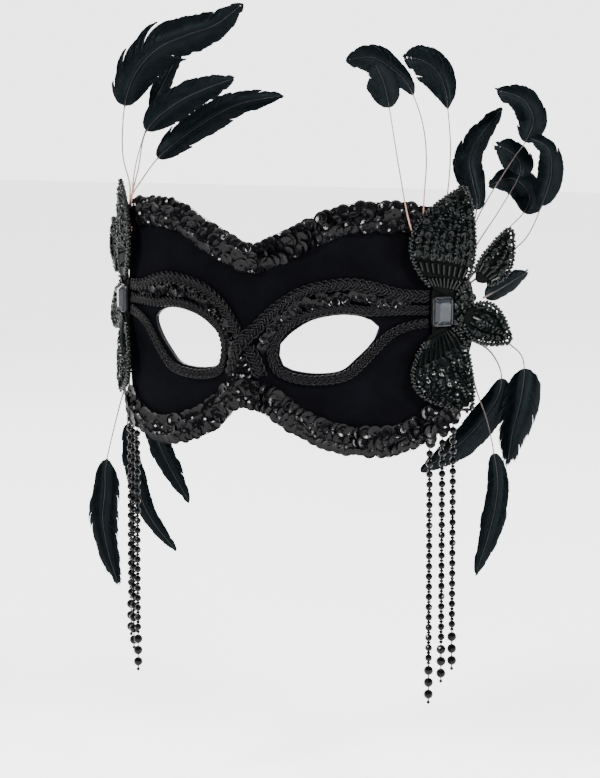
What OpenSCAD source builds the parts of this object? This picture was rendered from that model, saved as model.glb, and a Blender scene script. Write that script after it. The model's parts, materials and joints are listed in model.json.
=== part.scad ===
// Venetian half mask: velvet over a moulded shell, sequin and braid trims,
// a beaded butterfly applique on each side, feather sprays and hanging bead strands.
// Millimetres. +X is the wearer's left, -Y is the front, +Z is up.
// The origin is the point of the nose bridge, on the back of the lining.

/* [Mask] */
// half width of the elliptic wrap of the face
half_w = 91; // [85:1:97]
// depth of the elliptic wrap of the face
wrap_d = 62; // [56:1:68]
// how far the nose ridge stands forward at the nose arch
nose_rise = 9; // [6:0.5:11]
// thickness of the moulded shell
shell_t = 1.2; // [1:0.1:1.6]
// thickness of the velvet and of the lining
cloth_t = 0.7; // [0.5:0.1:0.9]

/* [Trims] */
// width of the three-row sequin trim on the edges
trim_w = 12.5; // [10:0.5:14]
// height of the sequin trim over the velvet
trim_h = 2.6; // [1.5:0.1:3]
// width of the outer gimp braid
outer_braid_w = 5.4; // [4:0.2:6]
// width of the inner gimp braid
inner_braid_w = 4.2; // [3:0.2:4.6]
// height of both braids over the velvet
braid_h = 1.6; // [1:0.1:2]

/* [Applique] */
// width of the oblong jewel
jewel_w = 8.4; // [7:0.2:9]
// height of the oblong jewel
jewel_tall = 11.4; // [9:0.2:12]
// radius of the beaded cord around each petal
edging_r = 0.9; // [0.6:0.1:1.1]
// thickness of a petal at its rim
petal_t = 0.8; // [0.6:0.1:1.2]
// how far a petal domes up in its middle
petal_dome = 1.4; // [0.5:0.1:2]

/* [Strap] */
// bore of the eyelet that the elastic is tied in
eyelet_d = 4; // [3:0.5:5]
// thickness of the eyelet tab
tab_t = 1.4; // [1:0.1:2]

/* [Bead strands] */
// diameter of a round bead
bead_d = 3.3; // [2.8:0.1:3.6]
// diameter of the last three beads
end_bead_d = 4.3; // [3.8:0.1:4.6]
// bore of every bead
bead_bore = 0.9; // [0.8:0.1:1.2]
// diameter of the thread
thread_d = 0.6; // [0.5:0.1:0.7]
// distance from one round bead to the next
bead_pitch = 4.6; // [4.4:0.1:5]

/* [Feathers] */
// radius of a quill where it leaves its binding
quill_r = 0.5; // [0.4:0.05:0.6]
// radius of the thread binding that holds a spray
binding_r = 0.9; // [0.8:0.05:0.9]

/* [Hidden] */
$fn = 32;
velvet_lo = 0.05;
velvet_hi = velvet_lo + cloth_t;
trim_lo = velvet_hi + 0.45;
lining_hi = -shell_t - 0.05;
lining_lo = lining_hi - cloth_t;
bands = 4;
nose_w = 11;
brow_curve = 0.0012;
brow_z = 5;

// Outlines on the wrapped surface: [angle round the face in degrees, height].
top_pts = [[0, 35.8], [5, 38.8], [10, 42.8], [16, 46.8], [22, 51.5], [28, 54.3], [36, 55.3],
    [44, 55], [50, 53.8], [55, 52.3], [62, 49.5]];
side_pts = [[62, 49.5], [63.5, 30], [64, 8], [63.5, -16], [62, -37.5]];
bottom_pts = [[62, -37.5], [57, -43.5], [51, -48.5], [44, -52], [36, -53.3], [28, -52.6],
    [21, -50], [14.5, -46], [9, -41], [5, -35.3], [0, -32.2]];
eye_pts = [[8.8, -10], [9.4, -5], [12.5, -0.3], [17, 4.2], [22, 6.6], [28, 7.6], [34, 6.2],
    [38, 2], [35.5, -5], [31, -11.5], [26.5, -17], [20, -18.6], [14, -18], [10, -15.8]];
eye_mid = [22.5, -5];

// Middle lines of the braids and of the sequin bands.
inner_braid_pts = [[54, 9.6], [47, 9.8], [41, 9.6], [34.5, 9.4], [28, 10.4], [21.5, 9.3],
    [15.3, 6.4], [10.2, 1.4], [7.5, -4.6], [6.9, -10.4], [8.4, -17.4], [13.2, -20.7],
    [20, -21.4], [27.8, -19.2], [32.9, -13.2], [37.4, -6.2], [41.6, -0.6], [47.4, 2.9], [54, 4.2]];
outer_braid_pts = [[54, 15.6], [44.5, 16.6], [37.4, 19.2], [30, 21.1], [22.5, 20.2],
    [15.8, 17.4], [10.2, 12.5], [5.6, 6.2], [2.4, -0.2], [-0.3, -5.6], [-2.4, -11.5],
    [-3.5, -16.5], [-4, -20]];
eye_sequin_pts = [[48, 13.1], [42, 13.2], [36, 14], [29, 15.3], [22, 14.5], [15.4, 11.2],
    [10.2, 6.3], [6.6, 0.4], [4.7, -6], [4.6, -11]];
eye_sequin_w = [0.6, 1, 3.4, 4.8, 4.8, 4.2, 3.4, 2.4, 1.4, 0.8];
nose_sequin_pts = [[0, -12.5], [0, -14.5], [0, -16.5], [0, -19]];
nose_sequin_w = [0.8, 2.4, 4, 5];
eye_sequin_h = 1;
nose_sequin_h = 1.2;
// A band's top is this share of its width, and its edges this share of its height.
band_top = 0.6;
band_edge = 0.5;
// Round this point the upper braid rises over the lower one, within this distance.
crossing_at = [0, -5];
crossing_r = 7;
crossing_gap = 0.4;

// Applique frame: x along the mask to its side edge, out away from the face, z up.
applique_turn = 52;
applique_at = [58, 9];
felt_out = 2.2;
felt_t = 0.6;
petal_out = felt_out + felt_t + 0.05;
// The strap eyelet, behind the applique: [along, up], its round end, its ring.
eyelet_at = [12.5, -9];
eyelet_end_d = 9;
eyelet_ring_d = 7;
eyelet_ring_h = 0.6;
eyelet_back = 0.2;
edging_gap = 0.25;
jewel_h = 3.6;
jewel_bevel = 1.6;
jewel_lift = 0.65;
setting_wall = 0.8;
setting_h = 2.2;
// Each petal: base, tip, greatest half width, bend of its middle line to one side.
petals = [
    [[1, 7.6], [10, 53], 14.5, 5],
    [[18.2, 12.4], [34, 34], 5.8, -2.5],
    [[11.4, -1.6], [33.5, -13.5], 7.2, 1],
    [[-1.6, -7.6], [13.6, -43], 13.2, -6]
];

// Bead strands: [angle round the face, height of the stitch, number of small beads].
strands = [[53.5, -50.6, 21], [58.3, -46, 20], [62.8, -40.6, 20]];
stitch_r = 1.2;
stitch_out = 1.8;
stitch_gap = 0.3;
strand_top = stitch_r + stitch_gap;
end_beads = 3;
end_pitch = 5.4;
knot_d = 1.6;
spacer_d = 1.9;
spacer_h = 1;
last_gap = 0.7;

// Feather sprays, in the applique frame: where each binding ends and how it leans.
binding_h = 4;
spray_gap = 0.4;
left_sprays = [[[-2, 1.45, 31], 0], [[8, 1.1, -24], 180]];
right_sprays = [[[-5, 1.45, 22], 0], [[11, 1.25, 10], 40], [[14, 0.9, -12], 140]];

// Each feather: points of its quill's route, in the applique frame.
crest_l1 = [[-2.2, 1.6, 31.4], [-2.6, 1.5, 46], [-2.9, 1.8, 54], [-3.6, 5, 68], [-5, 4, 90], [-8, -1, 105],
    [-12, -11, 116], [-16, -24, 122], [-20, -36, 126.5], [-24, -48, 136]];
crest_l2 = [[-3.4, 1, 31.4], [-4, 0.9, 46], [-2, -1.8, 64], [5, -11, 89],
    [9, -17, 101], [11, -25, 114.5]];
crest_l3 = [[-1, 0.8, 31.4], [-1, 0.9, 45], [-2, -2.5, 60], [-6, -6, 78], [-12, -18, 90], [-18, -31, 97],
    [-24, -44, 102]];
crest_l4 = [[0.2, 0.8, 31.4], [1.2, 0.9, 45], [2.6, -5, 55], [4, -15, 67], [1, -32, 80], [-8, -49, 90],
    [-18, -68, 94]];
drop_l1 = [[7.2, 1.2, -24.4], [12, 1.4, -40], [18, 4.2, -54], [25, 9.5, -81], [27, 10, -95],
    [28, 11, -109], [28, 8.5, -125], [27, 4, -140]];
drop_l2 = [[8.1, 0.1, -24.4], [13.6, 0, -44], [19, 0, -62], [22, -3, -84], [22, -10, -106],
    [22, -24, -125]];
drop_l3 = [[9.2, 0.9, -24.4], [16, -3, -40], [22, -11, -60], [25, -19, -80], [26, -31, -102]];
crest_r1 = [[-6.1, 1.4, 22.4], [-15, 1.8, 38], [-22, 4, 64], [-29, 8, 90], [-33, 10, 101],
    [-39, 13, 109]];
crest_r2 = [[-5, 1.4, 22.4], [-8.5, 2, 42], [-7, 1.5, 66], [-8, 0, 82], [-13.5, 0, 96],
    [-18.5, -1, 103], [-30, -4, 111], [-45, -2, 110]];
crest_r3 = [[-3.9, 1.4, 22.4], [3, 1.2, 47], [7, -2, 70], [6.5, -4, 90], [6.5, -6, 97],
    [3.5, -8, 105], [-3, -10, 110], [-12, -11, 111.5]];
rear_r1 = [[11.2, 1.4, 10.6], [18, 1, 38], [36, 0, 64], [44, 0, 74], [48, 0, 84], [42, 0, 93],
    [30, -2, 97]];
rear_r2 = [[12, 0.4, 10.6], [18.5, -1, 26], [33, -3, 44], [45, -6, 60], [43, -8, 68],
    [33, -8, 73]];
rear_r3 = [[13, 1.2, 10.2], [34, 0.8, 23.5], [43, 4, 32], [48, 8, 46], [52, 9, 59],
    [51, 8, 71], [42, 6, 76]];
rear_r4 = [[13, -0.3, 10.2], [34, -3, 32], [49, -9, 42], [54, -13, 50], [46, -15, 57],
    [34, -15, 54]];
rear_r5 = [[10.4, -0.2, 10.8], [19, -4, 34], [23.5, -7, 46], [23, -10, 56], [23.5, -14, 66],
    [31, -18, 76], [44, -20, 89]];
drop_r1 = [[14.8, 1.2, -12.5], [30, 1.2, -13.5], [37, 1.4, -17], [42, 2, -22], [44.5, 0, -30],
    [45, -4, -43], [42, -6, -58], [40, -6, -71]];
drop_r2 = [[14.6, -0.2, -12.7], [26, -1.5, -18], [34, -5, -26], [38, -9, -34], [37, -13, -44],
    [26, -17, -59], [12, -19, -69], [2, -19, -74]];
drop_r3 = [[13.6, 1, -13], [18.5, 1.2, -34], [24, 2, -49], [28, 2, -65], [30, 2, -81],
    [26, 2, -100], [19, 2, -119]];
cheek_r = [[22, 1.4, 5], [33, 1.4, 10], [45, 1.4, 16]];
applique_front = [0.788, -0.616, 0];
// The way each group of vanes faces; its first value is towards that side's ear.
crest_facing = [-0.45, -0.89, 0.1];
drop_facing = [-0.45, -0.89, 0];
right_facing = [0.45, -0.89, 0.1];

// ---- Surface of the face -------------------------------------------------

function clamp(v, lo, hi) = max(lo, min(hi, v));
function nose_share(z) = clamp((30 - z) / 50, 0, 1);

function face_point(t, z) =
    let (x = half_w * sin(t))
    [x,
        wrap_d * (1 - cos(t)) - nose_rise * nose_share(z) * exp(-pow(x / nose_w, 2))
            + brow_curve * pow(z - brow_z, 2) + nose_rise * nose_share(0),
        z];

function unit(v) = v / norm(v);

function face_normal(t, z) =
    let (e = 0.5)
    unit(cross(face_point(t + e, z) - face_point(t - e, z),
        face_point(t, z + e) - face_point(t, z - e)));

// The shell's front is at out = 0; the origin is on the lining's back.
function on_face(q, out) =
    face_point(q[0], q[1]) + face_normal(q[0], q[1]) * out + [0, lining_lo, 0];

// Millimetres of arc for each degree round the face.
function arc_scale(t) = norm([half_w * cos(t), wrap_d * sin(t)]) * PI / 180;

// ---- Curves ----------------------------------------------------------------

function pick(p, i) = p[clamp(i, 0, len(p) - 1)];
function wrapped(p, i) = p[(i + len(p)) % len(p)];

function blend4(a, b, c, d, s) =
    0.5 * (2 * b + (c - a) * s + (2 * a - 5 * b + 4 * c - d) * s * s
        + (3 * b - a - 3 * c + d) * s * s * s);

// A smooth curve through open points, n steps for each span.
function curve(p, n) = concat(
    [for (i = [0 : len(p) - 2]) for (k = [0 : n - 1])
        blend4(pick(p, i - 1), p[i], p[i + 1], pick(p, i + 2), k / n)],
    [p[len(p) - 1]]);

function loop_curve(p, n) =
    [for (i = [0 : len(p) - 1]) for (k = [0 : n - 1])
        blend4(wrapped(p, i - 1), p[i], wrapped(p, i + 1), wrapped(p, i + 2), k / n)];

// A value at share s of an open list, joined by straight lines.
function along(p, s) =
    let (f = s * (len(p) - 1), i = min(floor(f), len(p) - 2))
    p[i] + (p[i + 1] - p[i]) * (f - i);

function flipped(p) = [for (q = p) [-q[0], q[1]]];
function backwards(p) = [for (i = [len(p) - 1 : -1 : 0]) p[i]];

// The sideways direction of a line on the face, at point i, in face coordinates.
function sideways(p, i) =
    let (m = arc_scale(p[i][0]),
        d = pick(p, i + 1) - pick(p, i - 1),
        u = unit([d[0] * m, d[1]]))
    [-u[1] / m, u[0]];

function shifted(p, d) = [for (i = [0 : len(p) - 1]) p[i] + sideways(p, i) * d];

// ---- Solids from rings -----------------------------------------------------

// One closed solid through rings of equal size.
function ring_faces(n, m, first = 0) = concat(
    [for (i = [0 : n - 2]) for (j = [0 : m - 1]) let (a = first + i * m, k = (j + 1) % m)
        [a + j, a + m + j, a + k]],
    [for (i = [0 : n - 2]) for (j = [0 : m - 1]) let (a = first + i * m, k = (j + 1) % m)
        [a + k, a + m + j, a + m + k]],
    [for (j = [1 : m - 2]) [first, first + j, first + j + 1]],
    [for (j = [1 : m - 2]) let (a = first + (n - 1) * m) [a, a + j + 1, a + j]]);

module rings_solid(rings) {
    polyhedron(points = [for (r = rings) each r], faces = ring_faces(len(rings), len(rings[0])));
}

// A flat band along a line on the face: w is one width or a list of them.
module face_band(line, w, lo, h, rise = 0) {
    n = len(line);
    rings_solid([for (i = [0 : n - 1])
        let (s = sideways(line, i),
            half = (is_list(w) ? along(w, i / (n - 1)) : w) / 2,
            d = norm([(line[i][0] - crossing_at[0]) * arc_scale(0),
                line[i][1] - crossing_at[1]]),
            up = lo + rise * exp(-pow(d / crossing_r, 4)))
        [on_face(line[i] - s * half, up),
            on_face(line[i] - s * half, up + band_edge * h),
            on_face(line[i] - s * half * band_top, up + h),
            on_face(line[i] + s * half * band_top, up + h),
            on_face(line[i] + s * half, up + band_edge * h),
            on_face(line[i] + s * half, up)]]);
}

// ---- Layers of the mask ----------------------------------------------------

function turn_from_eye(q) = atan2(q[1] - eye_mid[1], (q[0] - eye_mid[0]) * 1.5);

// Where the ray from the eye's middle at angle a leaves the eye's outline.
function eye_hit(outline, a) =
    let (n = len(outline), d = [cos(a) / 1.5, sin(a)])
    max([for (i = [0 : n - 1])
        let (p = outline[i] - eye_mid, q = outline[(i + 1) % n] - eye_mid, e = q - p,
            den = d[0] * e[1] - d[1] * e[0],
            r = abs(den) < 1e-9 ? -1 : (p[0] * e[1] - p[1] * e[0]) / den,
            s = abs(den) < 1e-9 ? -1 : (p[0] * d[1] - p[1] * d[0]) / den)
        s >= -1e-6 && s <= 1 + 1e-6 ? r : -1]);

low_mid = bottom_pts[len(bottom_pts) - 1][1];
high_mid = top_pts[0][1];
middle_line = [for (k = [0 : 7]) [0, low_mid + (high_mid - low_mid) * k / 8]];
half_outline = concat(middle_line,
    [for (k = [0 : 18]) along(curve(top_pts, 4), k / 19)],
    [for (k = [0 : 6]) along(curve(side_pts, 4), k / 7)],
    [for (k = [0 : 19]) along(curve(bottom_pts, 4), k / 20)]);
outline_n = len(half_outline);
eye_outline = loop_curve(eye_pts, 4);
eye_ring = [for (q = half_outline) let (a = turn_from_eye(q), r = eye_hit(eye_outline, a))
    eye_mid + [cos(a) / 1.5, sin(a)] * r];
band_share = [0, 0.16, 0.42, 0.7, 1];

function layer_points(side, out) = [for (f = band_share) for (j = [0 : outline_n - 1])
    let (q = eye_ring[j] + (half_outline[j] - eye_ring[j]) * f)
    on_face([side * q[0], q[1]], out)];

function quad_tris(a, b, c, d, front) = front ? [[a, b, c], [a, c, d]] : [[a, c, b], [a, d, c]];

// Faces of one half: back points first, then front points, from index first on.
function layer_faces(first, front) =
    let (n = outline_n, s = n * (bands + 1))
    concat(
        [for (k = [0 : bands - 1]) for (j = [0 : n - 1])
            let (i = (j + 1) % n, a = first + s + k * n)
            each quad_tris(a + j, a + n + j, a + n + i, a + i, front)],
        [for (k = [0 : bands - 1]) for (j = [0 : n - 1])
            let (i = (j + 1) % n, a = first + k * n)
            each quad_tris(a + j, a + n + j, a + n + i, a + i, !front)],
        [for (j = [0 : n - 1])
            let (i = (j + 1) % n)
            each quad_tris(first + j, first + s + j, first + s + i, first + i, front)],
        [for (j = [0 : n - 1])
            let (i = (j + 1) % n, a = first + bands * n)
            if (!(half_outline[j][0] == 0 && half_outline[i][0] == 0))
                each quad_tris(a + j, a + s + j, a + s + i, a + i, !front)]);

module mask_layer(lo, hi) {
    half_count = 2 * outline_n * (bands + 1);
    polyhedron(
        points = concat(layer_points(1, lo), layer_points(1, hi),
            layer_points(-1, lo), layer_points(-1, hi)),
        faces = concat(layer_faces(0, false), layer_faces(half_count, true)));
}

module mask_shell() {
    color([0.08, 0.08, 0.09])
    mask_layer(-shell_t, 0);
}

module velvet_cover() {
    color([0.02, 0.02, 0.03])
    mask_layer(velvet_lo, velvet_hi);
}

module back_lining() {
    color([0.05, 0.05, 0.05])
    mask_layer(lining_lo, lining_hi);
}

// ---- Trims -----------------------------------------------------------------

trim_inset = 4.6;
trim_steps = 3 * (len(top_pts) - 3);
top_line = shifted(concat([for (i = [trim_steps : -1 : 0]) flipped(curve(top_pts, 3))[i]],
    [for (i = [1 : trim_steps]) curve(top_pts, 3)[i]]), -trim_inset);
bottom_half = curve(bottom_pts, 3);
bottom_line = shifted(concat(bottom_half,
    [for (i = [len(bottom_half) - 2 : -1 : 0]) flipped(bottom_half)[i]]), -trim_inset);

module top_sequin_trim() {
    color([0.06, 0.06, 0.07])
    face_band(top_line, trim_w, trim_lo, trim_h);
}

module bottom_sequin_trim() {
    color([0.06, 0.06, 0.07])
    face_band(bottom_line, trim_w, trim_lo, trim_h);
}

module inner_braid(side) {
    line = curve(inner_braid_pts, 3);
    color([0.04, 0.04, 0.04])
    face_band(side > 0 ? line : backwards(flipped(line)), inner_braid_w, trim_lo, braid_h);
}

// The right braid passes over the left one where they cross on the nose.
module outer_braid(side) {
    line = curve(outer_braid_pts, 3);
    color([0.04, 0.04, 0.04])
    face_band(side > 0 ? line : backwards(flipped(line)), outer_braid_w, trim_lo, braid_h,
        side > 0 ? braid_h + crossing_gap : 0);
}

module eye_sequins(side) {
    line = curve(eye_sequin_pts, 2);
    color([0.07, 0.07, 0.09])
    face_band(side > 0 ? line : backwards(flipped(line)),
        side > 0 ? eye_sequin_w : backwards(eye_sequin_w), trim_lo, eye_sequin_h);
}

module nose_sequins() {
    color([0.07, 0.07, 0.09])
    face_band(curve(nose_sequin_pts, 2), nose_sequin_w, trim_lo, nose_sequin_h);
}

// ---- Applique ---------------------------------------------------------------

applique_origin = on_face(applique_at, 0);

// Children are drawn in the applique frame, with out along -Y.
module on_applique(side) {
    mirror([side > 0 ? 0 : 1, 0, 0])
        translate(applique_origin)
        rotate([0, 0, applique_turn])
        children();
}

// A point of the applique frame, [along, out, up], in the mask's frame.
function applique_point(p, side) =
    let (c = cos(applique_turn), s = sin(applique_turn), o = applique_origin)
    [side * (o[0] + c * p[0] + s * p[1]), o[1] + s * p[0] - c * p[1], o[2] + p[2]];

module strap_eyelet(side) {
    color([0.55, 0.55, 0.57])
    on_applique(side)
        translate([eyelet_at[0], eyelet_back - lining_lo, eyelet_at[1]])
        rotate([-90, 0, 0])
        difference() {
            union() {
                cylinder(h = tab_t, d = eyelet_end_d);
                translate([-12, -eyelet_end_d / 2, 0])
                    cube([12, eyelet_end_d, tab_t]);
                translate([0, 0, tab_t])
                    cylinder(h = eyelet_ring_h, d = eyelet_ring_d);
            }
            translate([0, 0, -1])
                cylinder(h = tab_t + eyelet_ring_h + 2, d = eyelet_d);
        }
}

module applique_felt(side) {
    color([0.03, 0.03, 0.03])
    on_applique(side)
        translate([0, -felt_out, 0])
        rotate([90, 0, 0])
        linear_extrude(felt_t)
        polygon([[-4, -6], [-4, -16], [0, -28], [10, -28], [16, -14], [17, 2], [14, 14], [4, 16],
            [-4, 10]]);
}

// The rim of a petal, as [along, up] points, at share s from base to tip.
function petal_mid(p, s) =
    let (d = p[1] - p[0], u = unit(d))
    p[0] + d * s + [-u[1], u[0]] * p[3] * sin(180 * s);
function petal_half(p, s) = 0.5 + p[2] * pow(sin(180 * pow(s, 0.8)), 0.8);
function petal_side(p) = let (u = unit(p[1] - p[0])) [-u[1], u[0]];

module petal(p, side) {
    rings_solid([for (i = [0 : petal_rings])
        let (s = i / petal_rings, m = petal_mid(p, s), w = petal_half(p, s), v = petal_side(p),
            dome = petal_dome * sin(180 * s),
            ring = [for (q = [[-1, 0], [-1, 1], [-0.5, 1.7], [0, 2], [0.5, 1.7], [1, 1], [1, 0]])
                let (f = m + v * w * q[0], up = q[1] == 0 ? 0 : petal_t + dome * (q[1] - 1))
                applique_point([f[0], petal_out + up, f[1]], side)])
        side > 0 ? ring : backwards(ring)]);
}

module petals(side) {
    color([0.08, 0.08, 0.1])
    for (p = petals) petal(p, side);
}

// A petal's rim as flat points, from beside its base round the tip and back.
petal_rings = 10;
function petal_rim(p) = [for (w = [-1, 1]) for (i = [1 : petal_rings])
    let (s = (w < 0 ? i : petal_rings + 1 - i) / petal_rings)
    petal_mid(p, s) + petal_side(p) * w * petal_half(p, s)];

// The beaded cord lies outside that rim.
module bead_edging(side) {
    off = edging_r + edging_gap;
    color([0.12, 0.12, 0.13])
    for (p = petals) {
        rim = petal_rim(p);
        rings_solid([for (i = [0 : len(rim) - 1])
            let (d = unit(pick(rim, i + 1) - pick(rim, i - 1)))
            [for (a = [0 : 60 : 300])
                let (f = rim[i] + [d[1], -d[0]] * (off + edging_r * cos(a)))
                applique_point([f[0], petal_out + off + edging_r * sin(a), f[1]], side)]]);
    }
}

module jewel_setting(side) {
    rim = [jewel_w + 2 * setting_wall, jewel_tall + 2 * setting_wall];
    hole = [jewel_w + 0.2, jewel_tall + 0.2];
    color([0.35, 0.35, 0.37])
    on_applique(side)
        difference() {
            translate([-rim[0] / 2, -petal_out - setting_h, -rim[1] / 2])
                cube([rim[0], setting_h, rim[1]]);
            translate([-hole[0] / 2, -petal_out - setting_h - 1, -hole[1] / 2])
                cube([hole[0], setting_h + 0.4, hole[1]]);
        }
}

// The stone's outline from one side: a straight girdle under a bevelled table.
module jewel_profile(wide, deep) {
    half = wide / 2;
    table = half - jewel_bevel;
    rotate([90, 0, 0])
        translate([0, 0, -deep])
        linear_extrude(2 * deep)
        polygon([[-half, 0], [half, 0], [half, jewel_h / 2], [table, jewel_h],
            [-table, jewel_h], [-half, jewel_h / 2]]);
}

module jewel(side) {
    color([0.2, 0.2, 0.22])
    on_applique(side)
        translate([0, -petal_out - jewel_lift, 0])
        rotate([90, 0, 0])
        intersection() {
            jewel_profile(jewel_w, jewel_tall);
            rotate([0, 0, 90])
                jewel_profile(jewel_tall, jewel_w);
        }
}

// ---- Bead strands -----------------------------------------------------------

function stitch_at(k, side) =
    let (p = on_face([strands[k][0], strands[k][1]], stitch_out)) [side * p[0], p[1], p[2]];

function strand_length(k) =
    strands[k][2] * bead_pitch + last_gap + end_beads * end_pitch + knot_d;

module strand_stitches() {
    color([0.05, 0.05, 0.05])
    for (side = [-1, 1]) for (k = [0 : 2])
        translate(stitch_at(k, side)) sphere(r = stitch_r);
}

// The thread, and the small spacer between each bead and the next.
module thread(k, side) {
    color([0.05, 0.05, 0.05])
    translate(stitch_at(k, side) - [0, 0, strand_top]) {
        translate([0, 0, -strand_length(k)])
            cylinder(h = strand_length(k), d = thread_d);
        for (i = [1 : strands[k][2]])
            bored_spacer(-i * bead_pitch);
    }
}

module bored_ball(d, z) {
    translate([0, 0, z])
    difference() {
        sphere(d = d);
        cylinder(h = 2 * d, d = bead_bore, center = true);
    }
}

module bored_spacer(z) {
    translate([0, 0, z])
    difference() {
        cylinder(h = spacer_h, d = spacer_d, center = true);
        cylinder(h = 3 * spacer_h, d = bead_bore, center = true);
    }
}

module beads(k, side) {
    count = strands[k][2];
    color([0.09, 0.09, 0.1])
    translate(stitch_at(k, side) - [0, 0, strand_top]) {
        for (i = [0 : count - 1])
            bored_ball(bead_d, -(i + 0.5) * bead_pitch);
        for (i = [0 : end_beads - 1])
            bored_ball(end_bead_d, -count * bead_pitch - last_gap - (i + 0.5) * end_pitch);
        bored_ball(knot_d, 0.6 - strand_length(k));
    }
}

// ---- Feathers ---------------------------------------------------------------

module quill_bindings() {
    color([0.05, 0.05, 0.05])
    for (g = [[-1, left_sprays], [1, right_sprays]])
        for (s = g[1])
            on_applique(g[0])
                translate([s[0][0], -s[0][1], s[0][2]])
                rotate([0, s[1], 0])
                translate([0, 0, -binding_h - spray_gap])
                cylinder(h = binding_h, r = binding_r);
}

// One feather: a thin quill, then a vane on both sides of it that ends in a point.
// The vane starts at that share of the route; a larger bulge widens it nearer its tip.
module feather(route, side, vane_from, half, facing, bulge = 0.75) {
    line = [for (q = curve(route, 3)) applique_point(q, side)];
    n = len(line);
    rings_solid([for (i = [0 : n - 1])
        let (s = i / (n - 1), d = unit(pick(line, i + 1) - pick(line, i - 1)),
            f = [side * facing[0], facing[1], facing[2]],
            a = unit(cross(f, d)), b = cross(d, a), r = quill_r * (1 - 0.5 * s),
            v = clamp((s - vane_from) / (1 - vane_from), 0, 1),
            w = r + half * pow(sin(180 * pow(v, bulge)), 0.7))
        [line[i] - a * w, line[i] - (a - b) * r * 0.9, line[i] + (a + b) * r * 0.9,
            line[i] + a * w, line[i] + (a - b) * r * 0.9, line[i] - (a + b) * r * 0.9]]);
}

module dark_feather() {
    color([0.05, 0.06, 0.07]) children();
}

module crest_feather_left(k) {
    dark_feather() {
        if (k == 1) feather(crest_l1, -1, 0.44, 10.5, crest_facing);
        if (k == 2) feather(crest_l2, -1, 0.58, 4, crest_facing);
        if (k == 3) feather(crest_l3, -1, 0.5, 7.5, crest_facing);
        if (k == 4) feather(crest_l4, -1, 0.47, 7, crest_facing);
    }
}

module drop_feather_left(k) {
    dark_feather() {
        if (k == 1) feather(drop_l1, -1, 0.42, 7, drop_facing);
        if (k == 2) feather(drop_l2, -1, 0.4, 4.5, drop_facing);
        if (k == 3) feather(drop_l3, -1, 0.4, 5.5, drop_facing);
    }
}

module crest_feather_right(k) {
    dark_feather() {
        if (k == 1) feather(crest_r1, 1, 0.6, 6.5, right_facing);
        if (k == 2) feather(crest_r2, 1, 0.56, 6, right_facing, 1.1);
        if (k == 3) feather(crest_r3, 1, 0.42, 7.5, right_facing, 1.3);
    }
}

module rear_feather_right(k) {
    dark_feather() {
        if (k == 1) feather(rear_r1, 1, 0.5, 7, right_facing);
        if (k == 2) feather(rear_r2, 1, 0.58, 7, right_facing);
        if (k == 3) feather(rear_r3, 1, 0.5, 5.5, right_facing);
        if (k == 4) feather(rear_r4, 1, 0.4, 7.5, right_facing);
        if (k == 5) feather(rear_r5, 1, 0.3, 6.5, right_facing);
    }
}

module drop_feather_right(k) {
    dark_feather() {
        if (k == 1) feather(drop_r1, 1, 0.54, 8.5, right_facing);
        if (k == 2) feather(drop_r2, 1, 0.41, 7, right_facing);
        if (k == 3) feather(drop_r3, 1, 0.5, 5.5, right_facing);
    }
}

module cheek_feather_right() {
    dark_feather() feather(cheek_r, 1, 0.1, 5, applique_front);
}

mask_shell();
velvet_cover();
back_lining();
top_sequin_trim();
bottom_sequin_trim();
inner_braid(-1);  // inner_braid_left
inner_braid(1);  // inner_braid_right
outer_braid(-1);  // outer_braid_left
outer_braid(1);  // outer_braid_right
eye_sequins(-1);  // eye_sequins_left
eye_sequins(1);  // eye_sequins_right
nose_sequins();
strap_eyelet(-1);  // strap_eyelet_left
strap_eyelet(1);  // strap_eyelet_right
applique_felt(-1);  // applique_felt_left
applique_felt(1);  // applique_felt_right
petals(-1);  // petals_left
petals(1);  // petals_right
bead_edging(-1);  // bead_edging_left
bead_edging(1);  // bead_edging_right
jewel_setting(-1);  // jewel_setting_left
jewel_setting(1);  // jewel_setting_right
jewel(-1);  // jewel_left
jewel(1);  // jewel_right
strand_stitches();
quill_bindings();
thread(0, -1);  // thread_left_1
thread(1, -1);  // thread_left_2
thread(2, -1);  // thread_left_3
thread(0, 1);  // thread_right_1
thread(1, 1);  // thread_right_2
thread(2, 1);  // thread_right_3
beads(0, -1);  // beads_left_1
beads(1, -1);  // beads_left_2
beads(2, -1);  // beads_left_3
beads(0, 1);  // beads_right_1
beads(1, 1);  // beads_right_2
beads(2, 1);  // beads_right_3
crest_feather_left(1);  // crest_feather_left_1
crest_feather_left(2);  // crest_feather_left_2
crest_feather_left(3);  // crest_feather_left_3
crest_feather_left(4);  // crest_feather_left_4
drop_feather_left(1);  // drop_feather_left_1
drop_feather_left(2);  // drop_feather_left_2
drop_feather_left(3);  // drop_feather_left_3
crest_feather_right(1);  // crest_feather_right_1
crest_feather_right(2);  // crest_feather_right_2
crest_feather_right(3);  // crest_feather_right_3
rear_feather_right(1);  // rear_feather_right_1
rear_feather_right(2);  // rear_feather_right_2
rear_feather_right(3);  // rear_feather_right_3
rear_feather_right(4);  // rear_feather_right_4
rear_feather_right(5);  // rear_feather_right_5
drop_feather_right(1);  // drop_feather_right_1
drop_feather_right(2);  // drop_feather_right_2
drop_feather_right(3);  // drop_feather_right_3
cheek_feather_right();
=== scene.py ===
# Looks of the venetian half mask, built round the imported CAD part.
# Lengths are millimetres in the design functions and become metres when a mesh is made.
import json
import math
import random

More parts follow.
